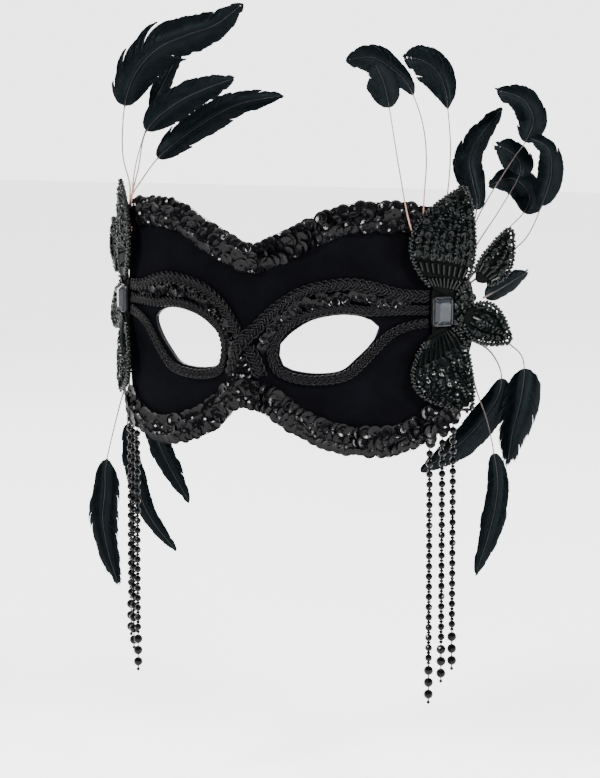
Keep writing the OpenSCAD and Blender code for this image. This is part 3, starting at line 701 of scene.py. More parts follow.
def trim_band(build, line):
    n = max(8, int(line.length))
    s = np.linspace(0.3, line.length - 0.3, n)
    wave = 0.25 * np.sin(s * 1.4)
    half = TRIM_W / 2
    cols = [(-half, 0), (-half * 0.8, TRIM_PAD), (0, TRIM_PAD * 1.2), (half * 0.8, TRIM_PAD),
            (half, 0), (half * 0.8, -0.1), (0, -0.1), (-half * 0.8, -0.1)]
    ring = np.stack([line.at(s, a + np.sign(a) * wave, TRIM_LO + h) for a, h in cols], 1)
    build.add(ring, loft_faces(n, len(cols)))


def picot_edge(build, line, aside, out):
    """Small loops of thread along an edge of the trim."""
    s = np.arange(0.5, line.length - 0.5, 0.3)
    wobble = 2 * math.pi * s / PICOT_PITCH
    p = line.at(s + 0.42 * PICOT_PITCH * np.sin(wobble), aside + PICOT_SIZE * np.cos(wobble),
                out + 0.25 * np.sin(wobble))
    _, f = line.frames(s, aside, out)
    tube(build, p, 0.17, 6, up=f[:, :, 2], lobes=2, lobe=0.12, turn=5)


def make_trim(label, points, node, fold):
    line = FaceLine(shifted(points, -TRIM_INSET), 10)
    band, sequins = Build(), Build()
    trim_band(band, line)
    for aside in (-PICOT_ASIDE, PICOT_ASIDE):
        picot_edge(band, line, aside, TRIM_LO + 0.35)
    sequin_rows(sequins, line, TRIM_LO + 1.2, fold, band)
    band.make(label + "_trim_net", NET, "mask", "sequins")
    sequins.make(label + "_trim_sequins", SEQUIN, "mask", "sequins", node, smooth=False)


def shifted(points, d):
    """A line d mm to one side of the line through the points."""
    line = FaceLine(points, 12)
    return np.stack(line.q_aside(np.linspace(0, line.length, 120), np.full(120, d)), -1)


TOP_SPAN = TOP_PTS[:-1]
top_points = mirrored(TOP_SPAN[::-1]) + TOP_SPAN[1:]
bottom_points = BOTTOM_PTS + mirrored(BOTTOM_PTS[::-1])[1:]
make_trim("top", top_points, "top_sequin_trim", -1)
make_trim("bottom", bottom_points, "bottom_sequin_trim", 1)

# ---- Gimp braids


def braid(name, points, width, pitch, cord_d, node, rise):
    """A flat plait of three strands, each a pair of twisted cords, over a narrow core tape."""
    line = FaceLine(points, 16)
    build = Build()
    period = 3 * pitch
    swing = width / 2 - cord_d
    s = np.arange(0.0, line.length, 0.34)
    middle = TRIM_LO + 0.85
    q = np.stack(line.q_at(s), -1)
    near = np.hypot(q[:, 0] * arc_scale(0.0), q[:, 1] + 5.0)
    lift = rise * np.exp(-(near / 7.0) ** 4)
    for k in range(3):
        theta = 2 * math.pi * (s / period + k / 3)
        lat = swing * np.sin(theta)
        slope = swing * 2 * math.pi / period * np.cos(theta)
        high = 0.46 * np.sin(2 * theta)
        size = np.hypot(1, slope)
        for off in (-0.56 * cord_d, 0.56 * cord_d):
            s2 = np.clip(s - slope / size * off, 0, line.length)
            p = line.at(s2, lat + off / size, middle + high + lift)
            _, f = line.frames(s, lat, 0.0)
            tube(build, p, cord_d / 2, 8, up=f[:, :, 2], lobes=3, lobe=0.13, turn=4.5 / cord_d)
    half = swing * 0.8
    cols = [(-half, -0.3), (-half, 0.15), (half, 0.15), (half, -0.3)]
    ring = np.stack([line.at(s, a, middle + h + lift - 0.2) for a, h in cols], 1)
    build.add(ring, loft_faces(len(s), len(cols)))
    build.make(name, CORD, "mask", "braid", node)


def on_side(points, side):
    """The points as given on the wearer's left, mirrored and run the other way on the right."""
    return points if side > 0 else mirrored(points)[::-1]


for side, label in SIDES:
    braid("inner_gimp_" + label, on_side(INNER_BRAID_PTS, side), 4.5, 2.6, 0.86,
          "inner_braid_" + label, 0.0)
    braid("outer_gimp_" + label, on_side(OUTER_BRAID_PTS, side), 5.8, 3.2, 1.05,
          "outer_braid_" + label, 2.0 if side > 0 else 0.0)

# ---- Sequins between the braids


def eye_crescent(side, label):
    line = FaceLine(on_side(EYE_SEQUIN_PTS, side), 12)
    build = Build()
    disc, square = cup_sequin(4.6, 0.06), cup_sequin(3.9, 0.05, 4)
    for s in np.arange(2.0, line.length - 2.0, 1.55):
        room = 2.6 * math.sin(math.pi * min(max(s / line.length, 0.05), 0.95)) ** 0.7
        a = rng.uniform(-1, 1) * room * 0.55
        p, f = line.frames(np.array([s]), np.array([a]), TRIM_LO + 0.55 + rng.uniform(0, 0.4))
        tilt = rot("y", rng.uniform(-0.22, 0.22)) @ rot("x", rng.uniform(-0.22, 0.22)) \
            @ rot("z", rng.uniform(0, FULL_TURN))
        build.put(square if rng.random() < 0.22 else disc, p[0], f[0] @ tilt)
    bead = seed_bead(1.5, 1.1)
    for s in np.arange(3.0, line.length - 3.0, 3.1):
        room = 1.6 * math.sin(math.pi * s / line.length) ** 0.7
        p, f = line.frames(np.array([s]), np.array([rng.uniform(-1, 1) * room]), TRIM_LO + 1.35)
        build.put(bead, p[0], f[0] @ rot("x", rng.uniform(-0.4, 0.4)))
    build.make("eye_scatter_" + label, SEQUIN, "mask", "sequins", "eye_sequins_" + label,
               smooth=False)


def nose_patch():
    build = Build()
    shape = cup_sequin(4.4, 0.08)
    for z, half in ((-12.6, 0.0), (-14.8, 0.9), (-17.0, 1.6), (-19.4, 2.2), (-21.4, 1.6)):
        for x in [0.0] if half < 0.5 else [-half, half] if half < 1.5 else [-half, 0.0, half]:
            t = x / arc_scale(0.0)
            tilt = rot("x", -0.3 + rng.uniform(-0.15, 0.15)) @ rot("y", rng.uniform(-0.15, 0.15))
            build.put(shape, on_face(t, z, TRIM_LO + 0.75), axes_from(face_normal(t, z)) @ tilt)
    build.make("nose_scales", SEQUIN, "mask", "sequins", "nose_sequins", smooth=False)


for side, label in SIDES:
    eye_crescent(side, label)
nose_patch()

# ---- Butterfly appliques

PETAL_RIM, PETAL_CROWN, PETAL_RINGS = 0.8, 1.4, 30
FELT_LO, FELT_HI = 2.22, 2.78
CENTRE_PITCH = 1.9
STONE_ROOM = (5.9, 7.3)
BEAD_HINT = (0.2, 0.9, 0.3)


def petal_axes(p):
    u = np.array(p[1], float) - np.array(p[0], float)
    u /= np.linalg.norm(u)
    return u, np.array([-u[1], u[0]])


def petal_length(p):
    return float(np.linalg.norm(np.array(p[1], float) - np.array(p[0], float)))


def petal_mid(p, s):
    base, tip = np.array(p[0], float), np.array(p[1], float)
    return base + (tip - base) * s + petal_axes(p)[1] * (p[3] * np.sin(math.pi * s))


def petal_half(p, s):
    return 0.5 + p[2] * float(np.sin(math.pi * np.float64(s) ** 0.8) ** 0.8)


def petal_height(s, w):
    """How far the petal's top stands over its rim, at share s and share w of its half width."""
    return PETAL_RIM + PETAL_CROWN * math.sin(math.pi * s) * (1 - w * w)


def over_petal(flat, height, side):
    """The point this high over the felt, from its flat place in the applique."""
    return applique(np.array([flat[0], PETAL_OUT + height, flat[1]]), side)


def applique_axes(side, along, up_lean):
    """A frame whose third axis leans off the applique's outward direction."""
    c, s = math.cos(APPLIQUE_TURN), math.sin(APPLIQUE_TURN)
    x, y = np.array([side * c, s, 0.0]), np.array([side * s, -c, 0.0])
    return axes_from(unit(y + x * along + np.array([0.0, 0.0, 1.0]) * up_lean))


def petal_body(build, p, side):
    cols = [(-1, 0.0), (-1.02, 0.5), (-0.9, 1), (-0.6, 1), (-0.3, 1), (0, 1), (0.3, 1), (0.6, 1),
            (0.9, 1), (1.02, 0.5), (1, 0.0), (0, -0.01)]
    rings = []
    v = petal_axes(p)[1]
    for i in range(PETAL_RINGS + 1):
        s = i / PETAL_RINGS
        m, w = petal_mid(p, s), petal_half(p, s) * (1 + 0.02 * math.sin(s * 60))
        ring = []
        for a, up in cols:
            f = m + v * w * a
            h = petal_height(s, min(abs(a), 1)) if up == 1 else PETAL_RIM * up
            ring.append([f[0], PETAL_OUT + h, f[1]])
        rings.append(ring)
    pts = applique(np.array(rings), side)
    if side > 0:
        pts = pts[:, ::-1]
    build.add(pts, loft_faces(PETAL_RINGS + 1, len(cols)))


def petal_filling(scales, bugles, seeds, p, side):
    """Sequins over the outer part, bugle beads fanned from the base, seed beads in rows."""
    u, v = petal_axes(p)
    length = petal_length(p)
    seed, bugle = seed_bead(1.6, 1.15), bugle_bead(1.35, 4.4)
    big = p[2] > 10
    shape = cup_sequin(4.4 if big else 3.6, 0.17)
    step = 3.3 if big else 3.0
    row = 0
    s_mm = length * (0.34 if big else 0.3)
    while s_mm < length - 1.6:
        s = s_mm / length
        half = petal_half(p, s) - 1.9
        count = max(1, int(2 * half / step) + 1)
        for i in range(count):
            w = 0.0 if count == 1 else (i / (count - 1) * 2 - 1)
            m = petal_mid(p, s) + v * w * half + u * rng.uniform(-0.5, 0.5)
            at = over_petal(m, petal_height(s, abs(w) * 0.9) + 0.55 + rng.uniform(0, 0.35), side)
            lean = -u * 0.32 + v * w * 0.22 + np.array([rng.uniform(-0.2, 0.2), rng.uniform(-0.2, 0.2)])
            axes = applique_axes(side, lean[0], lean[1])
            scales.put(shape, at, axes @ rot("z", rng.uniform(0, FULL_TURN)))
            if (i + row) % 2 == 0:
                seeds.put(seed, at + axes[:, 2] * 0.55, axes @ rot("x", rng.uniform(-0.5, 0.5)))
        s_mm += step * 0.82
        row += 1
    spokes = 9 if big else 5
    for i in range(spokes):
        w = i / (spokes - 1) * 2 - 1
        for s in [0.06 + 0.12 * k for k in range(3)] if big else [0.14]:
            a = petal_mid(p, s) + v * w * petal_half(p, s) * 0.88
            b = petal_mid(p, s + 0.1) + v * w * petal_half(p, s + 0.09) * 0.88
            d = (b - a) / max(np.linalg.norm(b - a), 1e-6)
            h = petal_height(s, abs(w)) + 0.75
            at = over_petal(a + d * 2.3, h, side)
            end = over_petal(a + d * 2.3 + d, h + 0.12, side)
            bugles.put(bugle, at, axes_from(end - at, (0.3, 0.9, 0.2)))
    for line_w in ((-0.36, 0.36) if big else (0.0,)):
        for s_mm in np.arange(length * 0.36, length * 0.9, 1.75):
            s = s_mm / length
            m = petal_mid(p, s) + v * line_w * petal_half(p, s)
            h = petal_height(s, abs(line_w)) + 1.15
            at = over_petal(m, h, side)
            seeds.put(seed, at, axes_from(over_petal(m + u, h, side) - at, BEAD_HINT))


def petal_rope(build, p, side):
    """Two twisted rows of seed beads outside the petal's rim."""
    u, v = petal_axes(p)
    n = 60
    pts = []
    for w in (-1, 1):
        for i in range(n + 1):
            s = (0.05 + 0.95 * i / n) if w < 0 else (1 - 0.95 * i / n)
            f = petal_mid(p, s) + v * w * (petal_half(p, s) + 1.15) + u * (1.1 if s > 0.99 else 0)
            pts.append([f[0], PETAL_OUT + 1.0, f[1]])
    pts = np.array(pts)
    pts = pts[np.concatenate([[True], np.linalg.norm(np.diff(pts, axis=0), axis=1) > 1e-3])]
    run = np.concatenate([[0], np.cumsum(np.linalg.norm(np.diff(pts, axis=0), axis=1))])

    def along(s):
        return np.array([np.interp(s, run, pts[:, i]) for i in range(3)])

    bead = seed_bead(1.55, 1.15)
    for strand in (0, 1):
        for s in np.arange(0.6 * (strand + 1), run[-1] - 0.6, 1.28):
            c = along(s)
            d = unit(along(s + 0.4) - c)
            aside = np.array([-d[2], 0, d[0]])
            phase = s * 1.15 + math.pi * strand
            c = c + aside * 0.55 * math.cos(phase) + np.array([0, 0.5 * math.sin(phase) + 0.2, 0])
            at = applique(c, side)
            ahead = applique(c + d + aside * 0.5 * -math.sin(phase), side)
            build.put(bead, at, axes_from(ahead - at, BEAD_HINT))


def oblong_stone(build, side):
    """An oblong stone cut with a table, two rows of crown facets and a thin girdle."""
    rows = [(2.6, 4.1, 3.6), (3.5, 5.0, 2.65), (4.15, 5.65, 1.9), (4.15, 5.65, 0.15), (3.8, 5.3, 0.0)]
    verts = []
    for x, z, up in rows:
        c = 0.26 * x
        ring = [(x, c - z), (x, z - c), (x - c, z), (c - x, z), (-x, z - c), (-x, c - z), (c - x, -z),
                (x - c, -z)]
        verts += [[i, PETAL_OUT + 0.65 + up, j] for i, j in ring]
    build.add_applique(verts, loft_faces(len(rows), 8), side)


def stone_setting(build, side):
    """An oblong cup with a milled edge and four claws."""
    rows = [(4.3, 5.8, 0.4), (4.3, 5.8, 1.9), (4.45, 5.95, 2.1), (4.9, 6.4, 2.1), (5.0, 6.5, 1.8),
            (5.0, 6.5, 0.1), (4.5, 6.0, 0.0)]
    n = 56
    verts = []
    for x, z, up in rows:
        for j in range(n):
            a = 2 * math.pi * j / n
            c, s = math.cos(a), math.sin(a)
            k = 1 / (abs(c) ** 9 + abs(s) ** 9) ** (1 / 9)
            mill = 0.06 * math.cos(j * math.pi) if x >= 4.85 else 0.0
            verts.append([(x + mill) * k * c, PETAL_OUT + 0.05 + up, (z + mill) * k * s])
    build.add_applique(verts, loft_faces(len(rows), n), side)
    for x, z in ((1, 1), (1, -1), (-1, 1), (-1, -1)):
        line = np.array([[4.35 * x, PETAL_OUT + 1.5, 5.85 * z], [4.15 * x, PETAL_OUT + 2.7, 5.6 * z],
                         [3.3 * x, PETAL_OUT + 3.7, 4.7 * z]])
        tube(build, applique(spline(line, 4), side),
             [0.5, 0.5, 0.48, 0.45, 0.42, 0.38, 0.34, 0.3, 0.22], 8, up=(0.3, 0.2, 0.9))


def felt_backing(build, side):
    outline = [[-4, -6], [-4, -16], [0, -28], [10, -28], [16, -14], [17, 2], [14, 14], [4, 16], [-4, 10]]
    ring = spline(outline, 8, closed=True)
    mid = ring.mean(0)
    rows = []
    for scale, out in ((0.02, FELT_LO), (0.97, FELT_LO), (1.0, 2.35), (1.0, 2.65), (0.97, FELT_HI),
                       (0.02, FELT_HI)):
        rows.append([[q[0], out, q[1]] for q in mid + (ring - mid) * scale])
    build.add_applique(rows, loft_faces(len(rows), len(ring)), side)


def inside(outline, x, y):
    """Whether the flat point lies inside the outline."""
    hit = False
    for i in range(len(outline)):
        (a, b), (c, d) = outline[i - 1], outline[i]
        if (b > y) != (d > y) and x < a + (y - b) / (d - b) * (c - a):
            hit = not hit
    return hit


def petal_share(p, x, z):
    """How far out across the petal the flat point lies; 1 is its rim."""
    u, v = petal_axes(p)
    flat = np.array([x, z])
    s = float((flat - np.array(p[0], float)) @ u) / petal_length(p)
    if not -0.03 < s < 1.03:
        return math.inf
    s = min(max(s, 0.0), 1.0)
    return abs(float((flat - petal_mid(p, s)) @ v)) / (petal_half(p, s) + 1.6)


def centre_filling(scales, seeds, side):
    """Sequins and seed beads on the felt that the petals and the stone leave bare."""
    outline = [[-3.5, -6], [-3.5, -15], [0, -27], [10, -27], [15.5, -14], [16.5, 2], [13.5, 13.5],
               [4, 15.5], [-3.5, 10]]
    r = random.Random(77)
    disc, seed = cup_sequin(3.8, 0.1), seed_bead(1.7, 1.2)
    for i in range(-3, 12):
        for j in range(-18, 12):
            x, z = i * CENTRE_PITCH + r.uniform(-0.4, 0.4), j * CENTRE_PITCH + r.uniform(-0.4, 0.4)
            under_stone = abs(x) < STONE_ROOM[0] and abs(z) < STONE_ROOM[1]
            if not inside(outline, x, z) or under_stone \
                    or any(petal_share(p, x, z) < 1.08 for p in PETALS):
                continue
            at = applique(np.array([x, 3.3 + r.uniform(0, 0.5), z]), side)
            axes = applique_axes(side, r.uniform(-0.3, 0.3), r.uniform(-0.3, 0.3))
            if (i + j) % 2:
                scales.put(disc, at, axes)
            else:
                seeds.put(seed, at + axes[:, 2] * 0.7, axes @ rot("x", r.uniform(0.6, 1.5)))


def butterfly(side, label):
    felt, scales, bugles, seeds, rope, stone, setting, base = (Build() for _ in range(8))
    for p in PETALS:
        petal_body(felt, p, side)
        petal_filling(scales, bugles, seeds, p, side)
        petal_rope(rope, p, side)
    centre_filling(scales, seeds, side)
    oblong_stone(stone, side)
    stone_setting(setting, side)
    felt_backing(base, side)
    for build, name, material, slot_name, node, smooth in (
            (felt, "petal_felt_", FELT, "felt", "petals_", True),
            (scales, "petal_sequins_", BEADWORK, "beadwork", None, False),
            (bugles, "petal_bugles_", BEADWORK, "beadwork", None, False),
            (seeds, "petal_seeds_", SEED, "beadwork", None, True),
            (rope, "petal_rope_", SEED, "beadwork", "bead_edging_", True),
            (stone, "stone_", JEWEL, "jewel", "jewel_", False),
            (setting, "stone_setting_", SETTING, "setting", "jewel_setting_", True),
            (base, "felt_back_", FELT, "felt", "applique_felt_", True)):
        build.make(name + label, material, "mask", slot_name, node and node + label, smooth=smooth)


for side, label in SIDES:
    butterfly(side, label)

# ---- Feathers

# The way the vanes face; the first value is towards that side's ear.
LEFT_FACING, RIGHT_FACING, APPLIQUE_FRONT = (-0.45, -0.89, 0.1), (0.45, -0.89, 0.1), (0.788, -0.616, 0)
# Each feather: its route, side, where the vane starts, half width, facing and bulge.
ROUTES = {
    "crest_feather_left_1": ([[-2.2, 1.6, 31.4], [-2.6, 1.5, 46], [-2.9, 1.8, 54], [-3.6, 5, 68],
                              [-5, 4, 90], [-8, -1, 105], [-12, -11, 116], [-16, -24, 122],
                              [-20, -36, 126.5], [-24, -48, 136]], -1, 0.44, 10.5, LEFT_FACING, 0.75),
    "crest_feather_left_2": ([[-3.4, 1, 31.4], [-4, 0.9, 46], [-2, -1.8, 64], [5, -11, 89],
                              [9, -17, 101], [11, -25, 114.5]], -1, 0.58, 4, LEFT_FACING, 0.75),
    "crest_feather_left_3": ([[-1, 0.8, 31.4], [-1, 0.9, 45], [-2, -2.5, 60], [-6, -6, 78],
                              [-12, -18, 90], [-18, -31, 97], [-24, -44, 102]],
                             -1, 0.5, 7.5, LEFT_FACING, 0.75),
    "crest_feather_left_4": ([[0.2, 0.8, 31.4], [1.2, 0.9, 45], [2.6, -5, 55], [4, -15, 67],
                              [1, -32, 80], [-8, -49, 90], [-18, -68, 94]],
                             -1, 0.47, 7, LEFT_FACING, 0.75),
    "drop_feather_left_1": ([[7.2, 1.2, -24.4], [12, 1.4, -40], [18, 4.2, -54], [25, 9.5, -81],
                             [27, 10, -95], [28, 11, -109], [28, 8.5, -125], [27, 4, -140]],
                            -1, 0.42, 7, LEFT_FACING, 0.75),
    "drop_feather_left_2": ([[8.1, 0.1, -24.4], [13.6, 0, -44], [19, 0, -62], [22, -3, -84],
                             [22, -10, -106], [22, -24, -125]], -1, 0.4, 4.5, LEFT_FACING, 0.75),
    "drop_feather_left_3": ([[9.2, 0.9, -24.4], [16, -3, -40], [22, -11, -60], [25, -19, -80],
                             [26, -31, -102]], -1, 0.4, 5.5, LEFT_FACING, 0.75),
    "crest_feather_right_1": ([[-6.1, 1.4, 22.4], [-15, 1.8, 38], [-22, 4, 64], [-29, 8, 90],
                               [-33, 10, 101], [-39, 13, 109]], 1, 0.6, 6.5, RIGHT_FACING, 0.75),
    "crest_feather_right_2": ([[-5, 1.4, 22.4], [-8.5, 2, 42], [-7, 1.5, 66], [-8, 0, 82],
                               [-13.5, 0, 96], [-18.5, -1, 103], [-30, -4, 111], [-45, -2, 110]],
                              1, 0.56, 6, RIGHT_FACING, 1.1),
    "crest_feather_right_3": ([[-3.9, 1.4, 22.4], [3, 1.2, 47], [7, -2, 70], [6.5, -4, 90],
                               [6.5, -6, 97], [3.5, -8, 105], [-3, -10, 110], [-12, -11, 111.5]],
                              1, 0.42, 7.5, RIGHT_FACING, 1.3),
    "rear_feather_right_1": ([[11.2, 1.4, 10.6], [18, 1, 38], [36, 0, 64], [44, 0, 74], [48, 0, 84],
                              [42, 0, 93], [30, -2, 97]], 1, 0.5, 7, RIGHT_FACING, 0.75),
    "rear_feather_right_2": ([[12, 0.4, 10.6], [18.5, -1, 26], [33, -3, 44], [45, -6, 60], [43, -8, 68],
                              [33, -8, 73]], 1, 0.58, 7, RIGHT_FACING, 0.75),
    "rear_feather_right_3": ([[13, 1.2, 10.2], [34, 0.8, 23.5], [43, 4, 32], [48, 8, 46], [52, 9, 59],
                              [51, 8, 71], [42, 6, 76]], 1, 0.5, 5.5, RIGHT_FACING, 0.75),
    "rear_feather_right_4": ([[13, -0.3, 10.2], [34, -3, 32], [49, -9, 42], [54, -13, 50], [46, -15, 57],
                              [34, -15, 54]], 1, 0.4, 7.5, RIGHT_FACING, 0.75),
    "rear_feather_right_5": ([[10.4, -0.2, 10.8], [19, -4, 34], [23.5, -7, 46], [23, -10, 56],
                              [23.5, -14, 66], [31, -18, 76], [44, -20, 89]],
                             1, 0.3, 6.5, RIGHT_FACING, 0.75),
    "drop_feather_right_1": ([[14.8, 1.2, -12.5], [30, 1.2, -13.5], [37, 1.4, -17], [42, 2, -22],
                              [44.5, 0, -30], [45, -4, -43], [42, -6, -58], [40, -6, -71]],
                             1, 0.54, 8.5, RIGHT_FACING, 0.75),
    "drop_feather_right_2": ([[14.6, -0.2, -12.7], [26, -1.5, -18], [34, -5, -26], [38, -9, -34],
                              [37, -13, -44], [26, -17, -59], [12, -19, -69], [2, -19, -74]],
                             1, 0.41, 7, RIGHT_FACING, 0.75),
    "drop_feather_right_3": ([[13.6, 1, -13], [18.5, 1.2, -34], [24, 2, -49], [28, 2, -65], [30, 2, -81],
                              [26, 2, -100], [19, 2, -119]], 1, 0.5, 5.5, RIGHT_FACING, 0.75),
    "cheek_feather_right": ([[22, 1.4, 5], [33, 1.4, 10], [45, 1.4, 16]],
                            1, 0.1, 5, APPLIQUE_FRONT, 0.75),
}
QUILL_R = 0.5
# How far the vane bends back at its edges, and how free its barbs hang, where not as usual.
CUPPED = {"crest_feather_left_1": 0.4, "crest_feather_left_4": 0.35}
LOOSE = {"drop_feather_left_1": 1.0, "drop_feather_right_1": 1.0}
# How tan the bare quill is at its foot, by spray.
TAN = {"crest_feather_left": 1.0, "crest_feather_right": 0.9, "rear_feather_right": 0.35,
       "drop_feather_right": 0.3, "drop_feather_left": 0.25, "cheek_feather_right": 0.5}


class Shaft:
    """A feather's shaft as a smooth curve, with its two side directions along it."""

    def __init__(self, route, side, facing, vane_from):
        self.p = applique(spline(route, 24), side)
        self.s = np.concatenate([[0], np.cumsum(np.linalg.norm(np.diff(self.p, axis=0), axis=1))])
        self.length = self.s[-1]
        self.start = float(np.interp(vane_from * (len(self.s) - 1), np.arange(len(self.s)), self.s))
        t = unit(np.gradient(self.p, axis=0))
        f = np.array([side * facing[0], facing[1], facing[2]])
        self.t = t
        self.a = unit(np.cross(f, t))
        self.b = np.cross(t, self.a)

    def at(self, s):
        """Point, along, aside and front directions s mm along; runs straight on past the tip."""
        s = np.asarray(s, float)
        inside = np.clip(s, 0, self.length)
        get = [np.stack([np.interp(inside, self.s, v[:, i]) for i in range(3)], -1)
               for v in (self.p, self.t, self.a, self.b)]
        get[0] = get[0] + get[1] * (s - inside)[..., None]
        return get


# Barbs: spacing of their tips, half width, and the range of a clump's length, lean, pull and reach.
BARB_PITCH, FINE_PITCH, BARB_HALF_W = 0.5, 0.42, 0.56
CLUMP_LENGTH, CLUMP_LEAN, CLUMP_PULL, CLUMP_REACH = (3.5, 9.0), 0.35, (0.1, 0.3), (0.87, 1.06)
TUFT_BARBS = 14


def vane_half(half, v, bulge):
    """Half width of the vane at share v of its length."""
    return half * float(np.sin(math.pi * np.float64(v) ** bulge) ** 0.62)


def barbs(build, shaft, half, bulge, cup, seed_number, loose):
    """Each side of the vane as close curved barbs that clump and split at the edge only."""
    r = random.Random(seed_number)
    long = shaft.length - shaft.start
    stations = np.linspace(0, 1, 9)
    for sign in (-1, 1):
        reach_scale = 0.94 if sign < 0 else 1.06
        tip = 0.02 * long
        clump_end, clump_mid, turn, pull, reach = -1.0, 0.0, 0.0, 0.0, 1.0
        while tip < long:
            v = tip / long
            if tip > clump_end:
                size = r.uniform(*CLUMP_LENGTH)
                clump_mid, clump_end = tip + size / 2, tip + size
                turn = r.uniform(-CLUMP_LEAN, CLUMP_LEAN)
                pull = r.uniform(*CLUMP_PULL)
                reach = r.uniform(*CLUMP_REACH)
            smooth = vane_half(half, v, bulge) * reach_scale
            w = smooth * reach * r.uniform(0.965, 1.025)
            sweep = (0.9 + 0.5 * v) * smooth + 0.8
            root = max(tip - sweep, long * 0.004 + 0.25 * tip)
            along = shaft.start + root + (tip - root) * stations ** 1.35
            along = along + ((clump_mid - tip) * pull + turn) * stations ** 5 \
                + loose * 2.5 * r.random() * stations ** 3
            lat = w * (1 - (1 - stations) ** 1.45)
            c, _, a, b = shaft.at(along)
            drop = cup * (lat / max(half, 0.5)) ** 2 * half + 0.12 * r.uniform(-1, 1) * stations ** 2
            curl = loose * 1.6 * stations ** 3
            p = c + a * (sign * lat)[:, None] - b * (drop + curl)[:, None]
            g = unit(np.gradient(p, axis=0))
            n = unit(b - (b * g).sum(-1, keepdims=True) * g)
            x = np.cross(n, g)
            taper = 1 - (0.35 + 0.5 * loose) * stations ** 3
            width = (BARB_HALF_W * taper * r.uniform(0.92, 1.12))[:, None]
            edge1 = p + x * width - n * 0.05
            edge2 = p - x * width + n * 0.03
            ridge = p + n * 0.09 * (1 - 0.6 * stations[:, None])
            ring = np.stack([edge1, ridge, edge2], 1)
            shade = np.clip(0.1 + 0.5 * r.random() * stations, 0, 1)
            build.add(ring, loft_faces(len(stations), 3), np.repeat(shade, 3))
            tip += BARB_PITCH if half > 4 else FINE_PITCH


def tuft(build, shaft, half, seed_number):
    """A few downy barbs where the vane begins."""
    r = random.Random(seed_number)
    stations = np.linspace(0, 1, 6)
    for i in range(TUFT_BARBS):
        sign = 1 if i % 2 else -1
        c, t, a, b = shaft.at(np.full(6, shaft.start + r.uniform(-1.0, 2.5)))
        size = half * r.uniform(0.3, 0.6)
        bend = r.uniform(-0.2, 0.5)
        p = c + t * (size * stations * r.uniform(0.5, 1.1))[:, None] \
            + a * (sign * size * (stations ** 0.9) * r.uniform(0.2, 0.6))[:, None] \
            - b * (size * bend * stations ** 2)[:, None]
        tube(build, p, 0.11 * (1 - 0.6 * stations), 4, up=b, tint=0.2)


def feather(name, body, number):
    route, side, vane_from, half, facing, bulge = ROUTES[name]
    shaft = Shaft(route, side, facing, vane_from)
    vane, quill = Build(), Build()
    barbs(vane, shaft, half, bulge, CUPPED.get(name, 0.28), 100 + number, LOOSE.get(name, 0.08))
    tuft(vane, shaft, half, 300 + number)
    vane.make(name + "_vane", FEATHER, body, "feather", name, tint=True)
    s = np.linspace(0, shaft.length * 0.985, 110)
    c, _, _, b = shaft.at(s)
    radius = QUILL_R * (1 - 0.35 * np.minimum(s / 30, 1)) * (1 - 0.6 * s / shaft.length)
    tan = next(v for k, v in TAN.items() if name.startswith(k))
    bare = np.clip(1.04 - s / max(shaft.start, 6.0), 0, 1)
    tube(quill, c + b * 0.12, radius, 8, up=b, lobes=2, lobe=0.08, tint=tan * bare ** 0.7)
    quill.make(name + "_shaft", QUILL, body, "quill", tint=True)


feather_bodies = {n: j for j, ns in frame["record"]["behaviour"]["bodies"].items() for n in ns}
for number, name in enumerate(ROUTES):
    feather(name, feather_bodies[name], number)

# ---- Bindings, stitches and the sequins over them

BINDING_LENGTH, BINDING_R, THREAD_TURNS = 4.0, 0.74, 12
SPRAYS = {-1: [[[-2, 1.45, 31], 0], [[8, 1.1, -24], 180]],
          1: [[[-5, 1.45, 22], 0], [[11, 1.25, 10], 40], [[14, 0.9, -12], 140]]}
# Height over the stitch and width of the sequins that close the trim's corner there.
CORNER_SEQUINS = ((1.2, 4.6), (3.4, 6.2), (6.4, 6.2))


def binding(build, at, lean, side):
    """A spray's quills bound with waxed thread."""
    up = np.array([math.sin(math.radians(lean)), 0.0, math.cos(math.radians(lean))])
    across = np.array([up[2], 0.0, -up[0]])
    end = np.array(at, float) - up * 0.4
    core = np.array([end + up * k for k in np.linspace(-BINDING_LENGTH, 0, 12)])
    radius = BINDING_R - 0.18 * np.abs(np.linspace(-1, 1, 12)) ** 6
    tube(build, applique(core, side), radius, 14, up=(0.6, 0.6, 0.1))
    a = np.linspace(0, 2 * math.pi * THREAD_TURNS, THREAD_TURNS * 14)
    h = np.linspace(-3.8, -0.2, len(a)) + 0.12 * np.sin(a * 0.37)
    round_r = BINDING_R + 0.02
    coil = end + up * h[:, None] + across * (round_r * np.cos(a))[:, None]
    coil[:, 1] += round_r * np.sin(a)
    tube(build, applique(coil, side), 0.15, 6, up=applique(up, side) - applique(np.zeros(3), side))


def stitch(build, centre):
    """A lump of thread with loops round it."""
    build.put(seed_bead(1.9, 1.9, 0.05), centre, np.eye(3))
    a = np.linspace(0, 2 * math.pi, 22, endpoint=False)
    for _ in range(5):
        axes = rot("x", rng.uniform(0, 3)) @ rot("y", rng.uniform(0, 3))
        ring = np.stack([0.95 * np.cos(a), 0.95 * np.sin(a), 0 * a], -1) @ axes.T
        tube(build, centre + ring, 0.2, 6, up=axes[:, 2], closed=True)


